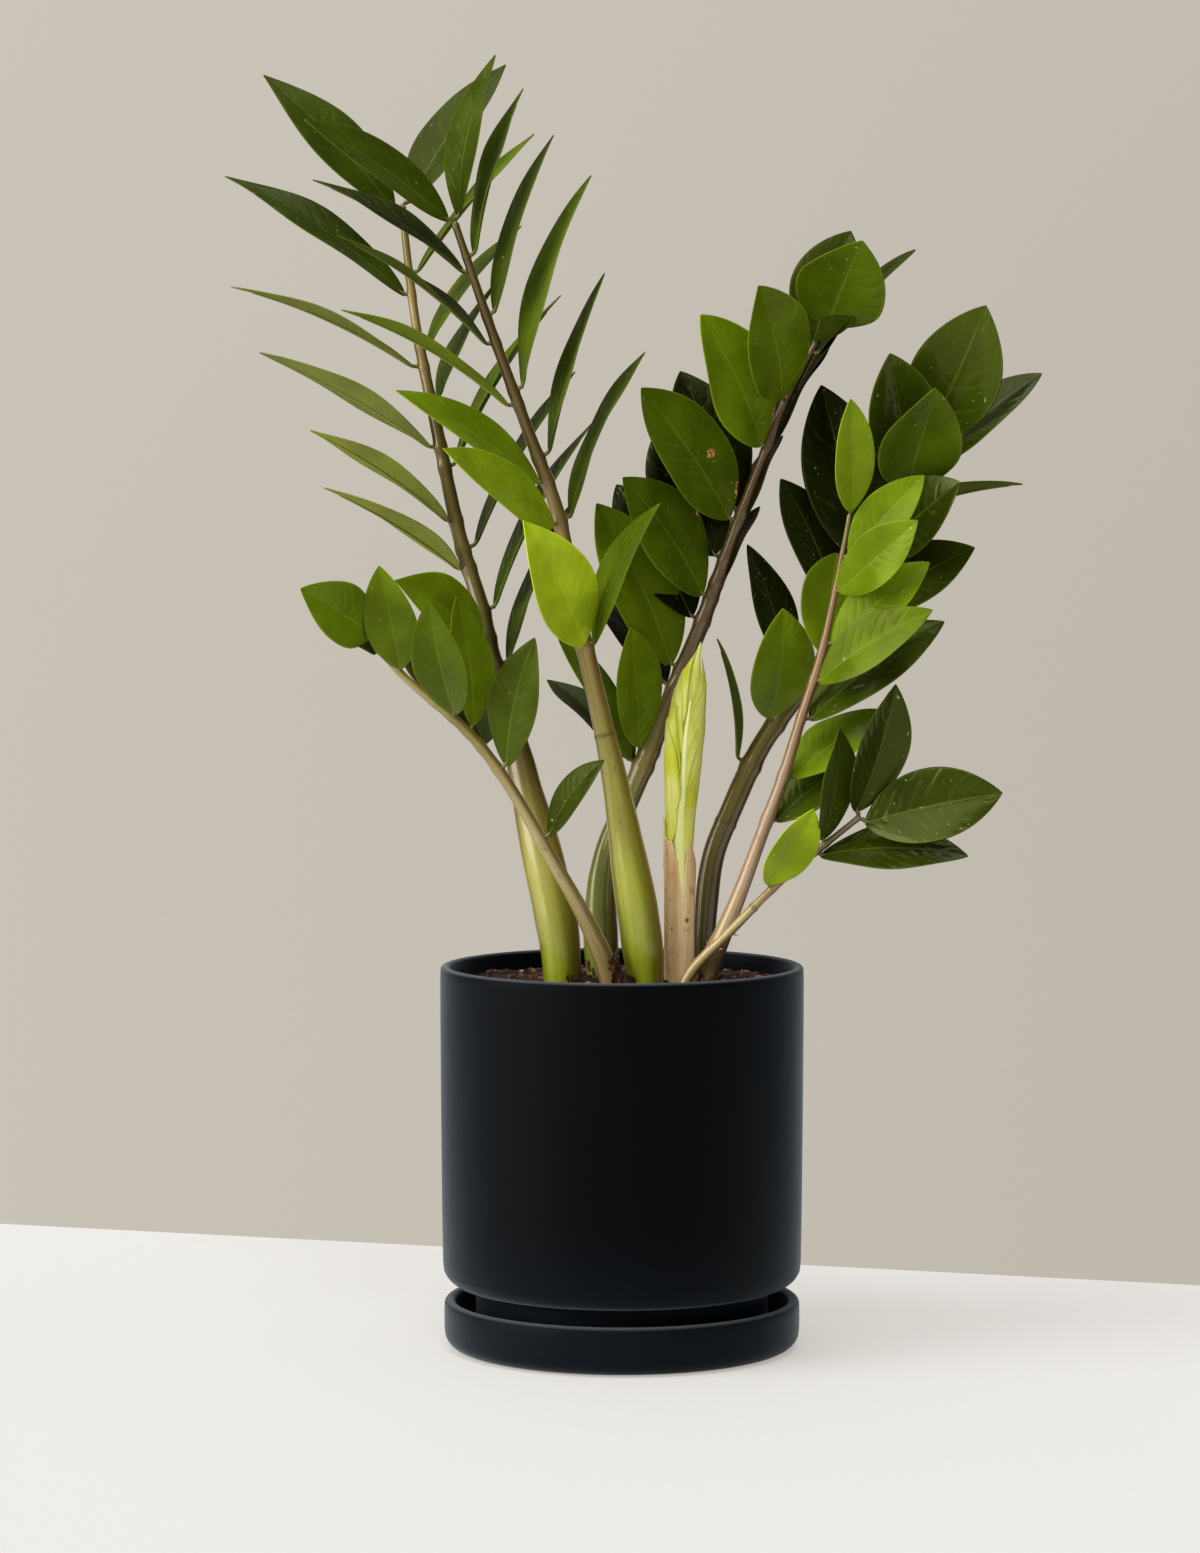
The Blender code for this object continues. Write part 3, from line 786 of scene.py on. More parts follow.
def flush_and_shade_of(tree, parts, bands):
    """Brown tint and painted shade round the stalk: most on the right, away from the light, less on the left.
    """
    square = sum_of(tree, "ADD", sum_of(tree, "MULTIPLY", parts["X"], parts["X"]),
                    sum_of(tree, "MULTIPLY", parts["Y"], parts["Y"]))
    side = sum_of(tree, "DIVIDE", parts["Y"], sum_of(tree, "SQRT", sum_of(tree, "ADD", square, 1e-9)))
    rightward = step_between(tree, side, 0.1, 0.85)
    leftward = step_between(tree, side, -0.96, -0.55, 0.6, 0.0)
    patchy = step_between(tree, bands, 0.35, 0.65, 0.6, 1.0)
    return sum_of(tree, "MULTIPLY", sum_of(tree, "MAXIMUM", rightward, leftward), patchy)


def make_stalk_skin(name):
    material, tree, shader = start_material(f"stalk_skin_{name}", Specular_IOR_Level=0.4,
                                            Specular_Tint=(1.0, 0.93, 0.65, 1), Coat_Weight=0.8,
                                            Coat_Roughness=0.16)
    line, codes = LINES[name], STALK_COLOURS[name]
    straight = attribute_of(tree, "straight")
    parts = parts_of(tree, straight)
    walked = parts["Z"]
    share = sum_of(tree, "DIVIDE", walked, line_length(line), clamp=True)
    places = np.linspace(BURIED_SHARE, 1.0, len(codes))
    # Painted shade and light along the stalk: the ramp is darker where leaflets shade it and lighter where it
    # catches the light.
    plain = ramp(tree, share, *[(place, paint(code)) for place, code in zip(places, codes)])
    fibres = long_noise(tree, straight, (420, 420, 9), 4.0, 0.6)
    bands = long_noise(tree, straight, (110, 110, 6))
    flecks = long_noise(tree, straight, (900, 900, 260))
    lit = step_between(tree, fibres, 0.35, 0.65, 0.91, 1.08)
    banded = step_between(tree, bands, 0.4, 0.62, 0.91, 1.06)
    streaked = shaded(tree, plain, sum_of(tree, "MULTIPLY", lit, banded))
    # Partly a brown tint, partly painted shade: the sides of the stalk are darkened, the right one most.
    flushed_and_shaded = blended(tree, flush_and_shade_of(tree, parts, bands), streaked, FLUSH_AND_SHADE_COLOUR, "MULTIPLY")
    flecked = blended(tree, step_between(tree, flecks, 0.66, 0.74, 0.0, 0.55), flushed_and_shaded, paint("3c2f16"))
    for height in RIDGES.get(name, ()):
        beyond = sum_of(tree, "SUBTRACT", walked, length_to(line, height * MM))
        ring = step_between(tree, sum_of(tree, "ABSOLUTE", beyond), 0.4 * MM, 1.5 * MM, 0.6, 0.0)
        flecked = blended(tree, ring, flecked, paint("4a4424"))
    normal = bumped(tree, fibres, 0.09 * MM, 0.4)
    rough = step_between(tree, bands, 0.3, 0.7, 0.25, 0.36)
    drive(tree, shader, Base_Color=flecked, Roughness=rough, Normal=normal)
    return material


for name in STALK_COLOURS:
    make_stalk(name, make_stalk_skin(name))

# %% [markdown]
# ## The leaflets
#
# A leaflet is a stiff, glossy blade on a very short stem. It starts as a flat grid, which is narrowed to
# the leaflet's outline, folded a little along the midrib, arched, and given a slight twist and wave of
# its own, so that no two are alike. Extruding all its faces and pulling the copy back makes the
# thickness, and leaves the upper side its own material. The midrib is a thin tube that starts inside
# the stalk as the leaflet's stem and dies away under the blade.

# %% Shaping a leaflet
BLADE_ACROSS, BLADE_ALONG = 8, 24
BLADE_THICKNESS = 0.55 * MM
BLADE_FOLD = math.tan(math.radians(16))
BLADE_FOLD_ROUNDING = 0.35
BLADE_ARCH = 0.045
BLADE_WAVES = 1.3  # how many waves an edge has
THINNEST_HALF = 0.12 * MM
STEM_HALF = 0.9 * MM
STEM_RADII = [1.25 * MM, 1.15 * MM]
MIDRIB_SHARES = [0.02, 0.06, 0.12, 0.2, 0.3, 0.4, 0.5, 0.6, 0.7, 0.8, 0.9]  # places along the blade
MIDRIB_RADIUS, MIDRIB_TAPER = 0.85 * MM, 0.72 * MM
MIDRIB_SIDES = 6
ROOT_DEPTH = 0.15  # where a stem starts, as a share of the way from the stalk's middle to the blade
TINT_SPREAD = 0.06  # how much lighter or darker than its tint a leaflet is


def half_width(share, width, form):
    """Half of a blade's width. form is how quickly it widens at its base and narrows at its tip."""
    widening, narrowing = form
    widest = widening / (widening + narrowing)
    peak = widest**widening * (1 - widest) ** narrowing
    blade = width / 2 * share**widening * (1 - share) ** narrowing / peak
    return max(blade + STEM_HALF * (1 - share) ** 12, THINNEST_HALF)


def blade_point(share, side, size, form, nature):
    """A point of the blade's upper face in its own frame: across, along, face."""
    length, width = size
    half = half_width(share, width, form)
    fold = BLADE_FOLD * nature["fold"] * (abs(side) - BLADE_FOLD_ROUNDING * side * side)
    wave = nature["wave"] * side * abs(side) * math.sin(math.tau * (BLADE_WAVES * share + nature["phase"]))
    flat = Vector((side * half, 0.0, (fold + wave) * half))
    twisted = Matrix.Rotation(nature["twist"] * (0.2 - share), 3, "Y") @ flat
    middle = 4 * share * (1 - share)  # 1 halfway along, 0 at both ends
    bend = nature["bend"] * length * middle
    arch = BLADE_ARCH * nature["arch"] * length * middle
    curl = nature["curl"] * length * share**3
    return twisted + Vector((bend, share * length, arch + curl))


def shape_blade(shape, size, form, nature, seed):
    """The blade with its thickness. Material 0 is the upper face, 1 the underside and the rim."""
    blade = shape.verts.layers.float_vector["blade"]
    for vert, side, even in flat_grid(shape, BLADE_ACROSS, BLADE_ALONG):
        share = 0.55 * even + 0.45 * (0.5 - 0.5 * math.cos(math.pi * even))  # closer rows at both ends
        vert[blade] = (side, share, seed)
        vert.co = blade_point(share, side, size, form, nature)
    thicken(shape, list(shape.faces), BLADE_THICKNESS, material=1)


def shape_midrib(shape, size, form, nature, seed, root):
    """The stem and midrib. root is where it starts inside the stalk, in the blade's own frame."""
    blade = shape.verts.layers.float_vector["blade"]
    below = Vector((0.0, 0.0, -BLADE_THICKNESS))
    under = [blade_point(share, 0.0, size, form, nature) + below for share in MIDRIB_SHARES]
    points = [root, root.lerp(under[0], 0.5), *under]
    radii = STEM_RADII + [MIDRIB_RADIUS - MIDRIB_TAPER * share for share in MIDRIB_SHARES]
    for vert in sweep(shape, points, radii, MIDRIB_SIDES, like=Vector((1.0, 0.0, 0.0))):
        vert[blade] = (0.0, max(vert.co.y / size[0], 0.0), seed)
        for face in vert.link_faces:
            face.material_index = 2


def leaflet_nature(rng):
    """What makes a leaflet its own: its fold, wave, twist, arch and bend."""
    return {
        "fold": rng.uniform(0.7, 1.2), "wave": rng.uniform(0.02, 0.09), "phase": rng.random(),
        "twist": math.radians(rng.uniform(-9, 9)), "arch": rng.uniform(0.7, 1.3),
        "bend": rng.uniform(-0.02, 0.02), "curl": rng.uniform(-0.02, 0.025),
    }


# %% Tints, forms and scars of the leaflets
# The darkest tints are mostly painted shade, for leaflets that lie in shade behind the others.
TINTS = {
    "night": (0.006, 0.009, 0.0005), "old": (0.012, 0.018, 0.001), "dark": (0.025, 0.038, 0.001),
    "deep": (0.042, 0.065, 0.002), "mature": (0.070, 0.110, 0.002), "leafy": (0.105, 0.160, 0.003),
    "fresh": (0.140, 0.215, 0.004), "lime": (0.200, 0.290, 0.006), "young": (0.280, 0.385, 0.010),
    "bright": (0.420, 0.550, 0.015), "pale": (0.105, 0.135, 0.012), "dull": (0.130, 0.168, 0.012),
}
POLISHED_LEAVES, POLISHED_TINTS = ("back_right", "front_right", "low_right"), ("old", "dark", "deep")

# The tints of each leaf's leaflets in the order of their numbers: the left row, the right row, and the
# same two rows of the hidden ones. A tint is partly the leaflet's own green, lighter while it is young, and
# partly painted shade: a leaflet that lies in shade has a darker tint, and the hidden ones in deep shade
# behind the others have the darkest.
LEAF_TINTS = {
    "tall_left": [
        "deep deep pale pale dull dull lime", "dark mature mature", "", "mature deep dark deep deep",
    ],
    "tall_centre": [
        "deep dark dark mature fresh lime bright", "deep deep mature deep mature", "", "mature deep",
    ],
    "low_left": ["fresh", "leafy mature deep", "dark dark dark dark leafy", "dark"],
    "middle_right": [
        "mature leafy fresh mature mature leafy fresh", "", "fresh dark night night night night",
        "dark dark night night night night",
    ],
    "back_right": ["mature fresh", "deep dark dark", "old old night deep deep", "deep dark"],
    "front_right": ["lime", "fresh fresh leafy deep", "leafy", "fresh fresh deep"],
    "low_right": ["dark deep young", "dark dark", "", ""],
}

# The blades of the two tall leaves are slim, the others oval.
SLIM_LEAVES = ("tall_left", "tall_centre")
SLIM_FORM, OVAL_FORM = (0.85, 1.05), (0.80, 0.88)

# What a blade's width is multiplied by, where the CAD leaflet is wider or narrower than the blade.
WIDTH_SHARES = {
    "middle_right_leaflet_left": 1.13, "front_right_leaflet_left": 0.78,
    "front_right_leaflet_right_1": 0.84, "front_right_leaflet_right_2": 0.84,
    "front_right_leaflet_right_3": 0.82,
}

# Brown scars: (from the midrib to an edge, from base to tip, radius in mm) in the "blade" places.
SCARS = {
    "middle_right_leaflet_left_4": [(0.42, 0.41, 1.9), (0.93, 0.12, 2.6)],
    "middle_right_leaflet_left_3": [(0.95, 0.15, 2.3)],
    "middle_right_leaflet_left_5": [(0.97, 0.45, 1.5)],
}
NO_SCAR = (0.0, 0.0, -9.0)


# %% Making a leaflet
def tint_of(name):
    """The name of a leaflet's tint, found by its leaf, its row and its number."""
    leaf = LEAFLETS[name][0]
    hidden, number = "_back_" in name, int(name.rsplit("_", 1)[1])
    row = (2 if hidden else 0) + ("_right_" in name.removeprefix(leaf))
    return LEAF_TINTS[leaf][row].split()[number - 1]


def mark_scars(name, shape):
    """Keeps two scars of a leaflet on all its points. A radius below 0 means no scar."""
    scars = [*SCARS.get(name, []), NO_SCAR, NO_SCAR]
    for number, (side, share, radius) in enumerate(scars[:2]):
        layer = shape.verts.layers.float_vector.new(f"scar_{number}")
        for vert in shape.verts:
            vert[layer] = (side, share, radius * MM)


def make_leaflet(name, skins):
    leaf, base, axes, length, width = LEAFLETS[name]
    width *= next((share for start, share in WIDTH_SHARES.items() if name.startswith(start)), 1.0)
    size = (length, width)
    rng = random.Random(name)
    nature, seed = leaflet_nature(rng), rng.random()
    form = SLIM_FORM if leaf in SLIM_LEAVES else OVAL_FORM
    turn = Matrix(axes).transposed()
    middle = nearest_on(LINES[leaf], base)[0]
    root = turn.transposed() @ (middle.lerp(base, ROOT_DEPTH) - base)
    shape = bmesh.new()
    shape.verts.layers.float_vector.new("blade")
    shape_blade(shape, size, form, nature, seed)
    shape_midrib(shape, size, form, nature, seed, root)
    # The tint is the leaflet's own green, and for a leaflet in shade it is also painted shade.
    tint, vary = tint_of(name), rng.uniform(1 - TINT_SPREAD, 1 + TINT_SPREAD)
    tints = shape.verts.layers.float_color.new("tint")
    for vert in shape.verts:
        vert[tints] = (*[vary * share for share in TINTS[tint]], 1.0)
    mark_scars(name, shape)
    bmesh.ops.transform(shape, matrix=Matrix.Translation(base) @ turn.to_4x4(), verts=shape.verts)
    upper = skins["polished" if leaf in POLISHED_LEAVES and tint in POLISHED_TINTS else "waxy"]
    replaced = None if "_back_" in name else name
    finish_piece(f"{name}_blade", shape, [upper, skins["underside"], skins["rib"]], replaced,
                 angle=80, rounded=True)


# %% [markdown]
# ## Leaflet skin
#
# The upper face has a thick, shiny skin over a deep green, which is shinier on the oldest leaflets. Its
# side veins are only just visible: they run forward from the midrib, and the skin is puffed up a little
# between them, which breaks a highlight into streaks. A few white specks and brown scars come with age.
# The pattern follows the blade, so it reads each point's place on the blade, from one edge to the other
# and from base to tip. The underside is duller, and so is the rim.

# %% Leaflet skin
WAX_TINT = (0.95, 1.0, 0.35, 1)  # the wax takes most of the blue out of what it reflects
TYPICAL_BLADE = (16 * MM, 60 * MM, 0.0)  # half the width, and the length
VEIN_PAIRS = 10.0  # side veins along a blade
VEIN_SLANT = -2.1  # how far forward they run


def blade_places(tree):
    """(distance from the midrib, share of the length, seed) from the blade attribute."""
    parts = parts_of(tree, attribute_of(tree, "blade"))
    return sum_of(tree, "ABSOLUTE", parts["X"]), parts["Y"], parts["Z"]


def side_veins(tree, off, share, seed, place):
    """1 on a side vein, 0 halfway between two."""
    wander = noise_of(tree, place, 90.0, 2.0)
    forward = sum_of(tree, "MULTIPLY", sum_of(tree, "POWER", off, 1.25), VEIN_SLANT)
    along = sum_of(tree, "MULTIPLY_ADD", share, VEIN_PAIRS, forward)
    phase = sum_of(tree, "ADD", sum_of(tree, "MULTIPLY_ADD", wander, 0.9, along), seed)
    wave = sum_of(tree, "COSINE", sum_of(tree, "MULTIPLY", phase, math.tau))
    return sum_of(tree, "MULTIPLY_ADD", wave, 0.5, 0.5)


def dulled(tree, rough):
    """A roughness that rises where a blade is seen almost edge on, so that its edges don't turn grey."""
    facing = add_node(tree, "LayerWeight", {"Blend": 0.5}).outputs["Facing"]
    return sum_of(tree, "ADD", rough, step_between(tree, facing, 0.55, 0.85, 0.0, 0.45), clamp=True)


def scar_on(tree, number, blot, place):
    """1 inside a scar with a ragged edge. blot is the blade attribute."""
    scar = attribute_of(tree, f"scar_{number}")
    apart = add_node(tree, "VectorMath", {0: blot, 1: scar}, operation="SUBTRACT").outputs["Vector"]
    flat = add_node(tree, "VectorMath", {0: apart, 1: TYPICAL_BLADE}, operation="MULTIPLY").outputs["Vector"]
    gap = add_node(tree, "VectorMath", {0: flat}, operation="LENGTH").outputs["Value"]
    ragged = sum_of(tree, "MULTIPLY_ADD", noise_of(tree, place, 700.0, 2.0), 2.6 * MM, gap)
    radius = parts_of(tree, scar)["Z"]
    inside = sum_of(tree, "SUBTRACT", sum_of(tree, "ADD", radius, 1.3 * MM), ragged)
    return step_between(tree, inside, 0.0, 0.5 * MM)


def make_leaflet_top(name, shine, roughest, puff):
    """shine is the specular level, roughest the highest roughness, puff the strength of the puffed skin."""
    material, tree, shader = start_material(name, Specular_IOR_Level=shine, Specular_Tint=WAX_TINT)
    place = place_of(tree)
    off, share, seed = blade_places(tree)
    tint = attribute_of(tree, "tint", "Color")
    veins = side_veins(tree, off, share, seed, place)
    clouds = noise_of(tree, place, 55.0, 3.0)
    mottled = shaded(tree, tint, step_between(tree, clouds, 0.3, 0.7, 0.80, 1.18))
    pale = blended(tree, 0.35, multiplied(tree, mottled, (1.6, 1.6, 1.6, 1)), (0.20, 0.24, 0.04, 1))
    patches = step_between(tree, noise_of(tree, place, 120.0, 2.0), 0.42, 0.62)
    vein_line = sum_of(tree, "MULTIPLY", step_between(tree, veins, 0.84, 1.0, 0.0, 0.2), patches)
    rib_width = sum_of(tree, "MULTIPLY_ADD", share, -0.045, 0.065)
    rib_line = step_between(tree, sum_of(tree, "DIVIDE", off, rib_width), 0.5, 1.0, 0.55, 0.0)
    edge_line = step_between(tree, off, 0.955, 0.99, 0.0, 0.6)
    lines = sum_of(tree, "MAXIMUM", vein_line, sum_of(tree, "MAXIMUM", rib_line, edge_line))
    lined = blended(tree, lines, mottled, pale)
    specks = step_between(tree, noise_of(tree, place, 620.0, 0.0), 0.82, 0.86, 0.0, 0.55)
    specked = blended(tree, specks, lined, (0.42, 0.46, 0.26, 1))
    blot = attribute_of(tree, "blade")
    scars = sum_of(tree, "MAXIMUM", scar_on(tree, 0, blot, place), scar_on(tree, 1, blot, place))
    crumbling = step_between(tree, noise_of(tree, place, 900.0, 2.0), 0.4, 0.6)
    crust = blended(tree, crumbling, paint("8c4a16"), paint("e0b070"))
    colour = blended(tree, scars, specked, crust)
    sunk = sum_of(tree, "MULTIPLY", sum_of(tree, "POWER", veins, 2.0), patches)
    puffs = bumped(tree, sunk, -0.25 * MM, puff)
    swells = bumped(tree, noise_of(tree, place, 70.0, 2.0), 0.9 * MM, 0.8 * puff, puffs)
    groove = bumped(tree, rib_line, -0.3 * MM, 0.5, swells)
    scabs = bumped(tree, scars, 0.2 * MM, 0.5, groove)
    waxed = step_between(tree, clouds, 0.3, 0.7, roughest - 0.12, roughest)
    rough = sum_of(tree, "MAXIMUM", dulled(tree, waxed), sum_of(tree, "MULTIPLY", scars, 0.7))
    drive(tree, shader, Base_Color=colour, Roughness=rough, Normal=scabs)
    return material


def make_leaflet_underside():
    material, tree, shader = start_material("leaflet_underside", Specular_IOR_Level=0.08,
                                            Specular_Tint=WAX_TINT)
    place = place_of(tree)
    off, share, seed = blade_places(tree)
    tint = attribute_of(tree, "tint", "Color")
    veins = side_veins(tree, off, share, seed, place)
    clouds = noise_of(tree, place, 55.0, 3.0)
    greyer = multiplied(tree, tint, (1.7, 1.5, 3.0, 1))
    paler = blended(tree, 0.05, greyer, (0.15, 0.17, 0.05, 1))
    mottled = shaded(tree, paler, step_between(tree, clouds, 0.3, 0.7, 0.85, 1.12))
    vein_line = step_between(tree, veins, 0.88, 1.0, 0.0, 0.12)
    colour = blended(tree, vein_line, mottled, (0.10, 0.14, 0.02, 1))
    skin = bumped(tree, veins, 0.05 * MM, 0.3)
    rough = dulled(tree, step_between(tree, clouds, 0.3, 0.7, 0.46, 0.54))
    drive(tree, shader, Base_Color=colour, Roughness=rough, Normal=skin)
    return material


def make_leaflet_rib():
    material, tree, shader = start_material("leaflet_rib", Specular_IOR_Level=0.4, Roughness=0.4)
    tint = attribute_of(tree, "tint", "Color")
    pale = blended(tree, 0.5, multiplied(tree, tint, (1.8, 1.8, 1.8, 1)), (0.20, 0.20, 0.05, 1))
    stem = step_between(tree, blade_places(tree)[1], 0.0, 0.12, 0.6, 0.0)
    drive(tree, shader, Base_Color=blended(tree, stem, pale, (0.13, 0.10, 0.025, 1)))
    return material


LEAFLET_SKINS = {
    "waxy": make_leaflet_top("leaflet_top", 0.16, 0.34, 0.45),
    "polished": make_leaflet_top("old_leaflet_top", 0.32, 0.26, 0.5),
    "underside": make_leaflet_underside(),
    "rib": make_leaflet_rib(),
}
for name in LEAFLETS:
    make_leaflet(name, LEAFLET_SKINS)
print(f"{len(LEAFLETS)} blades with {len(LEAFLET_SKINS)} finishes")

# %% [markdown]
# ## Soil
#
# The pot is filled with a coarse, dark mix of peat and bark. The bed is a flat grid pressed into a disc
# and roughened with three sizes of noise, with a skirt down to the pot's floor, so that it is a solid
# like the real filling. What makes it read as soil is what lies on top: about a thousand loose chips,
# each a squashed ball of twenty faces with its own size, turn and colour.

# %% The bed of soil
SOIL_GRID = 96
SOIL_DISH = 1.2 * MM  # how much lower the bed is at the wall
SOIL_LUMPS = [(1.5, 60), (1.0, 190), (0.5, 480)]  # size in mm and how close together
SOIL_SKIRT = [(9 * MM, 0.985), (0.0, 0.875)]  # height over the bed's bottom, and share of its radius


def soil_height(x, y):
    spot = Vector((x, y, 0.0))
    return SOIL_Z + MM * sum(size * noise.noise(spot * close) for size, close in SOIL_LUMPS)


def make_soil(material):
    low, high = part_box("soil")
    rim = high.x
    shape = bmesh.new()
    for vert, x, _ in flat_grid(shape, SOIL_GRID, SOIL_GRID):
        y = vert.co.y
        reach = max(abs(x), abs(y))
        share = reach / math.hypot(x, y) * rim if reach else 0.0
        x, y = x * share, y * share
        vert.co = (x, y, soil_height(x, y) - SOIL_DISH * reach**4)
    for height, width in SOIL_SKIRT:
        edges = [edge for edge in shape.edges if edge.is_boundary]
        geom = bmesh.ops.extrude_edge_only(shape, edges=edges)["geom"]
        for vert in [part for part in geom if isinstance(part, bmesh.types.BMVert)]:
            flat = Vector((vert.co.x, vert.co.y)).normalized() * rim * width
            vert.co = (flat.x, flat.y, low.z + height)
    bmesh.ops.holes_fill(shape, edges=[edge for edge in shape.edges if edge.is_boundary], sides=0)
    bmesh.ops.recalc_face_normals(shape, faces=shape.faces)
    piece = finish_piece("soil_bed", shape, [material], "soil", angle=80)
    print(f"soil bed: {len(piece.data.polygons)} faces")


# %% Chips of bark
CHIP_COUNT, CHIP_SEED = 1100, 11
CHIP_REACH = 0.985  # how near they come to the pot's wall, as a share of the bed's radius
CHIP_SIZES = 0.6, 1.5  # the smallest and the largest radius in mm
CHIP_ROUGHNESS = 0.22  # share of its radius by which a chip's corners are moved
CHIP_TINTS = ["1f1210", "2a1817", "3a2119", "4f2c20", "693b2b", "80503a", "a9826a", "c9a58c"]
CHIP_SHARES = [5, 6, 6, 5, 4, 3, 1.6, 0.8]
FOOT_GAP = 1.5 * MM  # chips keep this far from the stalks
FEET = [place_on(line, 0.0) for line in LINES.values()]


def clear_of_feet(spot):
    return all((middle.xy - spot).length > radius + FOOT_GAP for middle, _, radius in FEET)


def turn_and_squash(rng):
    """Two matrices, the first for how a chip lies and the second for its shape."""
    turn = Matrix.Rotation(rng.uniform(0, math.tau), 4, "Z")
    tilt = Matrix.Rotation(rng.uniform(-0.6, 0.6), 4, "X")
    squash = Matrix.Diagonal((rng.uniform(0.9, 1.9), rng.uniform(0.6, 1.1), rng.uniform(0.35, 0.8), 1.0))
    return turn @ tilt, squash


def make_chips(material):
    rng = random.Random(CHIP_SEED)
    noise.seed_set(CHIP_SEED)  # noise_vector would otherwise start from the time of day
    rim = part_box("soil")[1].x
    shape = bmesh.new()
    tints = shape.verts.layers.float_color.new("tint")
    for _ in range(CHIP_COUNT):
        reach, around = rim * math.sqrt(rng.random()) * CHIP_REACH, rng.uniform(0, math.tau)
        x, y = reach * math.cos(around), reach * math.sin(around)
        size = rng.uniform(*CHIP_SIZES) * MM
        tint = rng.choices(CHIP_TINTS, CHIP_SHARES)[0]
        vary = rng.uniform(0.8, 1.25)
        turned, squash = turn_and_squash(rng)
        sunk = SOIL_DISH * (reach / rim) ** 4 - 0.3 * size
        if not clear_of_feet(Vector((x, y))):
            continue
        place = Matrix.Translation((x, y, soil_height(x, y) - sunk)) @ turned @ squash
        made = bmesh.ops.create_icosphere(shape, subdivisions=1, radius=size, matrix=place)["verts"]
        for vert in made:
            vert.co += CHIP_ROUGHNESS * size * noise.noise_vector(vert.co * 900)
            vert[tints] = (*[vary * share for share in paint(tint)[:3]], 1.0)
    piece = finish_piece("soil_chips", shape, [material], angle=30)
    print(f"soil chips: {len(piece.data.polygons)} faces")


# %% Soil and bark finish
def make_soil_finish():
    material, tree, shader = start_material("peat_soil", Specular_IOR_Level=0.3, Roughness=0.85)
    place = place_of(tree)
    crumbs = noise_of(tree, place, 420.0, 5.0, 0.7)
    patches = noise_of(tree, place, 90.0, 3.0)
    colour = ramp(tree, crumbs, (0.32, paint("120b0a")), (0.5, paint("2c1a15")), (0.62, paint("4f2f22")),
                  (0.75, paint("76523c")))
    dark = blended(tree, step_between(tree, patches, 0.4, 0.6, 0.0, 0.5), colour, paint("1a100d"))
    drive(tree, shader, Base_Color=dark, Normal=bumped(tree, crumbs, 0.8 * MM, 0.9))
    return material


def make_bark_finish():
    material, tree, shader = start_material("bark_chips", Specular_IOR_Level=0.4, Roughness=0.7)
    place = place_of(tree)
    grain = noise_of(tree, place, 1600.0, 3.0)
    tint = attribute_of(tree, "tint", "Color")
    colour = shaded(tree, tint, step_between(tree, grain, 0.35, 0.65, 0.6, 1.35))
    drive(tree, shader, Base_Color=colour, Normal=bumped(tree, grain, 0.15 * MM, 0.8))
    return material


make_soil(make_soil_finish())
BARK = make_bark_finish()
make_chips(BARK)

# %% [markdown]
# ## The new shoot
#
# A new leaf comes up rolled into a spear. Its pale rib runs up the front and its leaflets lie on both
# sides of it, each wrapped round the ones above. The middle is swept along its measured line, and so is
# the rib. Each leaflet is a thin grid that is rolled round the spear: going across the grid turns round
# the spear, going along it climbs. Its tip stands off a little, which gives the spear its notched edge.

# %% The rolled leaflets
SHOOT_BLADES = 10
SHOOT_LOWEST, SHOOT_HIGHEST = 52.0, 102.0  # heights of the lowest and the highest leaflet's foot in mm
SHOOT_BLADE_ACROSS, SHOOT_BLADE_ALONG = 10, 26
SHOOT_THICKNESS = 0.3 * MM
SHOOT_FORM = (0.75, 0.8)
SHOOT_CLOSING = 17 * MM  # how far below its tip the shoot starts to close
SHOOT_CLOSED = 0.85  # share of its radius that it has lost at the tip
SHOOT_SEED = 5
TURN_END = 0.55  # how far along a rolled leaflet it has turned to its middle angle
RIPPLE = 0.15  # in mm
OPEN_BLADES = (3, 5)  # the ones whose edge stands off most
SHORT_BLADE = (57.0, 12.0, -78.0, -84.0, 24.0, 1.0, 0.2, 0.3, 20.5)  # the short one beside the sheath


def rolled_point(line, height, angle, stand_off):
    """A point that stands off from the spear, which closes towards its tip."""
    middle, ahead, radius = place_on(line, height)
    tip = line[-1].z - SOIL_Z
    closed = 1 - SHOOT_CLOSED * ease(height, tip - SHOOT_CLOSING, tip + 2 * MM) ** 1.5
    return middle + closed * (radius + stand_off) * outward(ahead, angle)


def rolled_blade(line, row):
    """A bmesh of one rolled leaflet, from its row: foot and length in mm, angle at the foot and at the
    middle, half its width in degrees, how far it, its tip and its edge stand off in mm, and its seed."""
    foot, length, start, middle, width, layer, tip_lift, edge_lift, seed = row
    shape = bmesh.new()
    place = shape.verts.layers.float_vector.new("straight")
    for vert, side, along in flat_grid(shape, SHOOT_BLADE_ACROSS, SHOOT_BLADE_ALONG):
        half = math.radians(width) * 2 * half_width(along, 1.0, SHOOT_FORM)
        turn = math.radians(start + (middle - start) * ease(along, 0.0, TURN_END))
        ripple = RIPPLE * noise.noise(Vector((side * 1.3, along * 4.0, seed)))
        front_edge = max(-side * math.copysign(1, middle), 0.0) ** 3
        lift = tip_lift * along**5 + edge_lift * front_edge * math.sin(math.pi * along)
        height, stand_off = (foot + length * along) * MM, (layer + ripple + lift) * MM
        vert.co = rolled_point(line, height, turn + side * half, stand_off)
        vert[place] = (side, along, seed)
    thicken(shape, list(shape.faces), SHOOT_THICKNESS)
    return shape


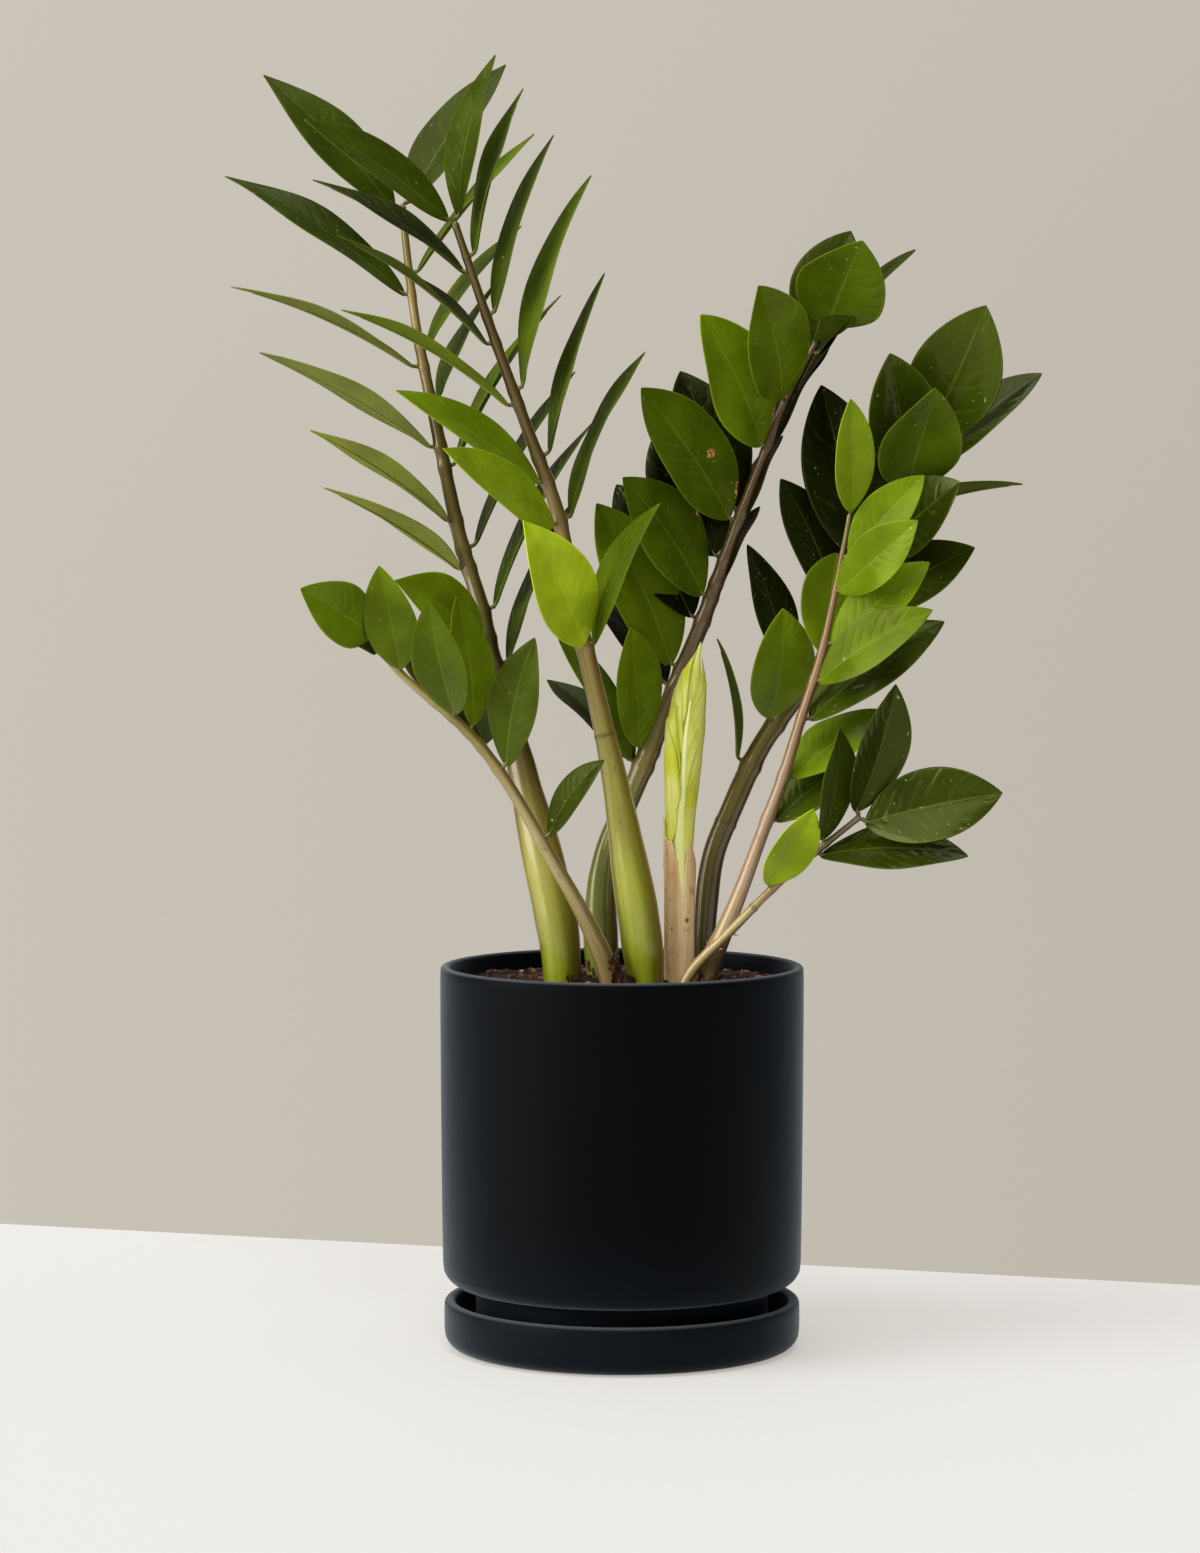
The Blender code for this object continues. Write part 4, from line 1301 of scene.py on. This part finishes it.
def rolled_rows(line):
    """The rows of all the rolled leaflets, left and right in turn, with the lower ones outside."""
    rng = random.Random(SHOOT_SEED)
    top = (line[-1].z - SOIL_Z) / MM
    rows = []
    for number in range(SHOOT_BLADES):
        share = number / (SHOOT_BLADES - 1)
        foot = SHOOT_LOWEST + (SHOOT_HIGHEST - SHOOT_LOWEST) * share
        side = -1 if number % 2 else 1
        length = min(rng.uniform(38, 44), top - foot - 0.5)
        open_edge = 1.5 if number in OPEN_BLADES else 0.2
        rows.append((foot, length, side * rng.uniform(38, 46), side * rng.uniform(74, 84),
                     rng.uniform(62, 70), 0.55 * (1 - share), 0.25, open_edge, number + 0.5))
    return [*rows, SHORT_BLADE]


# %% The rib and the spear
RIB_ANGLE = math.radians(4)  # where the rib runs, from the front towards the right
RIB_HEIGHTS = (30.0, 50.0, 67.0, 87.0, 103.0, 118.0)  # in mm, as are the radii there
RIB_RADII = (2.9, 2.9, 2.75, 1.9, 1.25, 0.45)
RIB_SUNK = 0.75  # share of its radius by which the rib is sunk into the spear
RIB_STEPS, RIB_SIDES = 40, 16
SPEAR_STEPS, SPEAR_SIDES = 70, 20
RIB_SEED, SPEAR_SEED = -1.0, 40.0


def sweep_rib(shape, line):
    rows = []
    for height, radius in zip(RIB_HEIGHTS, RIB_RADII):
        point = rolled_point(line, height * MM, RIB_ANGLE, (0.25 - RIB_SUNK * radius) * MM)
        rows.append(Vector((*point, radius * MM)))
    rings = [smooth_route(rows, i / RIB_STEPS) for i in range(RIB_STEPS + 1)]
    return sweep(shape, [ring.xyz for ring in rings], [ring.w for ring in rings], RIB_SIDES)


def sweep_spear(shape, line):
    """The middle of the shoot, a little slimmer than measured and blunt at its tip."""
    rings = [smooth_route(line, i / SPEAR_STEPS) for i in range(SPEAR_STEPS + 1)]
    ends = [math.sqrt(max(1 - (i / SPEAR_STEPS) ** 7, 0.02)) for i in range(SPEAR_STEPS + 1)]
    radii = [0.9 * ring.w * end for ring, end in zip(rings, ends)]
    return sweep(shape, [ring.xyz for ring in rings], radii, SPEAR_SIDES)


def make_shoot(material):
    line = LINES["shoot"]
    shape = bmesh.new()
    place = shape.verts.layers.float_vector.new("straight")
    for swept, seed in ((sweep_spear, SPEAR_SEED), (sweep_rib, RIB_SEED)):
        for vert in swept(shape, line):
            vert[place] = (0.0, vert.co.z, seed)
    rolled = bpy.data.meshes.new("rolled")
    for row in rolled_rows(line):
        blade = rolled_blade(line, row)
        blade.to_mesh(rolled)
        blade.free()
        shape.from_mesh(rolled)
    bpy.data.meshes.remove(rolled)
    piece = finish_piece("new_shoot_spear", shape, [material], "new_shoot", angle=80, rounded=True)
    print(f"new shoot: {len(piece.data.polygons)} faces before rounding")


# %% Shoot finish
def make_shoot_finish():
    """The rib, which has a seed below 0, is the palest. The rest darkens in thin streaks and at its edges."""
    material, tree, shader = start_material("shoot_skin", Specular_IOR_Level=0.3, Roughness=0.42,
                                            Specular_Tint=(1.0, 1.0, 0.6, 1))
    place = place_of(tree)
    along_blade = attribute_of(tree, "straight")
    parts = parts_of(tree, along_blade)
    fibres = long_noise(tree, along_blade, (9, 2.2, 7), 3.0)
    clouds = long_noise(tree, place, (160, 160, 60))
    flecks = long_noise(tree, place, (500, 500, 140))
    plain = blended(tree, step_between(tree, clouds, 0.35, 0.65), paint("dce03c"), paint("f0f284"))
    streaked = blended(tree, step_between(tree, fibres, 0.5, 0.68, 0.0, 0.55), plain, paint("b8c822"))
    off = sum_of(tree, "ABSOLUTE", parts["X"])
    edged = blended(tree, step_between(tree, off, 0.72, 1.0, 0.0, 0.55), streaked, paint("a5b41e"))
    rib = blended(tree, step_between(tree, parts["Z"], -0.5, 0.0, 1.0, 0.0), edged, paint("f3f8a4"))
    flecked = blended(tree, step_between(tree, flecks, 0.66, 0.74, 0.0, 0.45), rib, paint("93a31c"))
    drive(tree, shader, Base_Color=flecked, Normal=bumped(tree, fibres, 0.15 * MM, 0.5))
    return material


make_shoot(make_shoot_finish())

# %% [markdown]
# ## The sheath
#
# The shoot comes out of a dry, papery sheath that has split down its front. It is one sheet rolled a
# little more than once round, so it is made as one: a grid whose width goes round the shoot. Its top
# edge follows a ring of heights: two points with a deep notch between them, and a lower back. The
# sheet's own edges overlap below the notch, where the real one tears open.

# %% The sheath
SHEATH_TURN = math.radians(198)  # from the back to each edge of the sheet
SHEATH_NOTCH = math.radians(9)  # where the notch is, from the front towards the right
SHEATH_THICKNESS = 0.45 * MM
SHEATH_LOW, SHEATH_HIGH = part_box("shoot_sheath")
SHEATH_RADIUS = (SHEATH_HIGH.x - SHEATH_LOW.x) / 2
SHEATH_ACROSS, SHEATH_ALONG = 96, 24
SHEATH_INSET = 0.55 * MM  # leaves room for its thickness, wrinkles and lap
SHEATH_WRINKLE = 0.3 * MM
SHEATH_FLARE = 0.5 * MM  # at the top edge
SHEATH_OUTER_LAP, SHEATH_INNER_LAP = 5 / 3 * MM, -1.0 * MM  # how fast the two edges part, per radian

# Heights of the top edge in mm, by the angle in degrees from the front towards the right.
SHEATH_EDGE = [(-180, 51), (-125, 57), (-90, 62.5), (-60, 60.5), (-28, 59), (-10, 51), (9, 35), (20, 47),
               (34, 60), (60, 55), (90, 50), (135, 49), (180, 51)]


def sheath_top(angle):
    """Height of the sheath's top edge at an angle from the front, in radians."""
    turn = math.degrees((angle + math.pi) % math.tau - math.pi)
    i = next(i for i in range(1, len(SHEATH_EDGE)) if turn <= SHEATH_EDGE[i][0])
    (start, low), (end, high) = SHEATH_EDGE[i - 1:i + 1]
    ragged = 0.7 * noise.noise(Vector((math.cos(angle) * 6, math.sin(angle) * 6, 3.0)))
    return (low + (high - low) * (turn - start) / (end - start) + ragged) * MM


def make_sheath(material):
    centre = (SHEATH_LOW + SHEATH_HIGH) / 2
    shape = bmesh.new()
    place = shape.verts.layers.float_vector.new("straight")
    for vert, side, share in flat_grid(shape, SHEATH_ACROSS, SHEATH_ALONG):
        around = side * SHEATH_TURN
        front = around + math.pi + SHEATH_NOTCH
        height = SHEATH_LOW.z + (SOIL_Z + sheath_top(front) - SHEATH_LOW.z) * share
        beyond = max(abs(around) - math.pi, 0.0)
        lap = beyond * (SHEATH_OUTER_LAP if around > 0 else SHEATH_INNER_LAP)
        wrinkle = SHEATH_WRINKLE * noise.noise(Vector((around * 2.2, share * 3.0, 0.0)))
        flare = SHEATH_FLARE * ease(share, 0.75, 1.0)
        radius = SHEATH_RADIUS - SHEATH_INSET + wrinkle + lap + flare
        out = Vector((math.sin(front), -math.cos(front), 0.0))
        vert.co = (centre.x + radius * out.x, centre.y + radius * out.y, height)
        vert[place] = (SHEATH_RADIUS * out.x, SHEATH_RADIUS * out.y, height - SOIL_Z)
    thicken(shape, list(shape.faces), SHEATH_THICKNESS)
    piece = finish_piece("papery_sheath", shape, [material], "shoot_sheath", angle=80, rounded=True)
    print(f"sheath: {len(piece.data.polygons)} faces before rounding")


# %% Sheath finish
KNOT_ANGLE, KNOT_HEIGHT = 0.5, 26.0 * MM  # a brown knot, in radians from the front towards the right


def make_sheath_finish():
    material, tree, shader = start_material("papery_sheath", Specular_IOR_Level=0.25, Roughness=0.6)
    straight = attribute_of(tree, "straight")
    fibres = long_noise(tree, straight, (900, 900, 30), 4.0, 0.6)
    bands = long_noise(tree, straight, (160, 160, 25), 3.0)
    flecks = long_noise(tree, straight, (620, 620, 330))
    blots = noise_of(tree, straight, 150.0, 3.0)
    plain = blended(tree, step_between(tree, bands, 0.35, 0.65), paint("eabe84"), paint("ffe4b0"))
    lined = blended(tree, step_between(tree, fibres, 0.5, 0.7, 0.0, 0.45), plain, paint("bd8f54"))
    blotted = blended(tree, step_between(tree, blots, 0.6, 0.7, 0.0, 0.4), lined, paint("a86a34"))
    flecked = blended(tree, step_between(tree, flecks, 0.67, 0.74, 0.0, 0.85), blotted, paint("6a4020"))
    knot_place = (SHEATH_RADIUS * math.sin(KNOT_ANGLE), -SHEATH_RADIUS * math.cos(KNOT_ANGLE), KNOT_HEIGHT)
    gap = add_node(tree, "VectorMath", {0: straight, 1: knot_place}, operation="DISTANCE").outputs["Value"]
    ragged = sum_of(tree, "MULTIPLY_ADD", blots, 2.2 * MM, gap)
    knot = step_between(tree, ragged, 1.6 * MM, 2.8 * MM, 0.85, 0.0)
    knotted = blended(tree, knot, flecked, paint("5c3418"))
    dent = bumped(tree, knot, -0.4 * MM, 0.6)
    drive(tree, shader, Base_Color=knotted, Normal=bumped(tree, fibres, 0.18 * MM, 0.8, dent))
    return material


make_sheath(make_sheath_finish())

# %% [markdown]
# ## Husk and spurs
#
# Old sheaths dry out and fall apart into brown fibre at the feet of the stalks, mostly at the foot of
# the thin left leaf, and the two right stalks have short reddish spurs near the soil. A scrap of husk is
# a narrow strip that is bent over its length, and a spur is a swept cone. Both are placed on a stalk's
# measured line by their height and by the side of the stalk that they sit on.

# %% Husk
# Each row: stalk, lowest and highest foot in mm, middle angle and its spread in degrees, count.
HUSKS = [
    ("low_left", 0, 10, 60, 45, 60), ("tall_centre", 0, 4, -70, 40, 14), ("middle_right", 0, 6, 0, 90, 16),
    ("tall_left", 0, 2.5, 60, 50, 12), ("front_right", 0, 3, 30, 90, 14), ("back_right", 0, 4, 40, 80, 12),
]
HUSK_TINTS = ["2e1c10", "4a2c18", "5e3a20", "7a5230", "93693e", "3a2618"]
HUSK_THICKNESS, HUSK_SEED = 0.12 * MM, 21
SCRAP_LENGTHS, SCRAP_WIDTHS = (2.0, 4.6), (0.3, 0.8)  # from the smallest to the largest, in mm


def shape_scrap(shape, foot, out, up, rng):
    """A strip of husk that leans away from the stalk and curls at its end."""
    length, width = rng.uniform(*SCRAP_LENGTHS) * MM, rng.uniform(*SCRAP_WIDTHS) * MM
    lean, curl = rng.uniform(0.05, 0.5), rng.uniform(-0.5, 0.9)
    across = (up.cross(out) + rng.uniform(-0.6, 0.6) * up).normalized()
    climb = across.cross(out).normalized()
    climb = climb if climb.dot(up) > 0 else -climb
    grid = flat_grid(shape, 2, 6)
    for vert, side, along in grid:
        narrowing = 1 - 0.75 * along**2
        stand_off = length * (lean * along + curl * 0.4 * along**2) + 0.15 * MM + 0.2 * width * side**2
        vert.co = foot + across * side * width * narrowing + climb * along * length + out * stand_off
    return [vert for vert, _, _ in grid]


def make_husk(material):
    rng = random.Random(HUSK_SEED)
    shape = bmesh.new()
    tints = shape.verts.layers.float_color.new("tint")
    for leaf, low, high, middle, spread, count in HUSKS:
        for _ in range(count):
            centre, ahead, radius = place_on(LINES[leaf], rng.uniform(low, high) * MM)
            out = outward(ahead, math.radians(middle + rng.uniform(-spread, spread)))
            tint = paint(rng.choice(HUSK_TINTS))
            for vert in shape_scrap(shape, centre + out * radius, out, ahead, rng):
                vert[tints] = tint
    thicken(shape, list(shape.faces), HUSK_THICKNESS)
    piece = finish_piece("husk_scraps", shape, [material], angle=60)
    print(f"husk: {len(piece.data.polygons)} faces")


make_husk(BARK)

# %% Spurs
# Each row: stalk, height in mm, angle from the front towards the right in degrees, length in mm.
SPURS = [
    ("front_right", 11, -62, 2.6), ("front_right", 15, -70, 2.2), ("front_right", 25, 75, 1.6),
    ("low_right", 17, 70, 1.7), ("low_right", 23, 80, 2.2), ("low_right", 30, -80, 1.4),
]
SPUR_SHARES = (0.0, 0.35, 0.7, 1.0)
SPUR_RADII = [0.55 * MM, 0.42 * MM, 0.24 * MM, 0.05 * MM]
SPUR_CLIMB = 0.6  # how much it bends up the stalk
SPUR_SIDES = 8


def make_spurs():
    material = start_material("spur_skin", Base_Color=paint("d98a74"), Roughness=0.45)[0]
    shape = bmesh.new()
    for leaf, height, turn, length in SPURS:
        centre, ahead, radius = place_on(LINES[leaf], height * MM)
        out = outward(ahead, math.radians(turn))
        foot = centre + out * radius * 0.8
        points = [foot + (out + SPUR_CLIMB * ahead * share) * share * length * MM for share in SPUR_SHARES]
        sweep(shape, points, SPUR_RADII, SPUR_SIDES)
    piece = finish_piece("spurs", shape, [material], angle=60)
    print(f"spurs: {len(piece.data.polygons)} faces")


make_spurs()
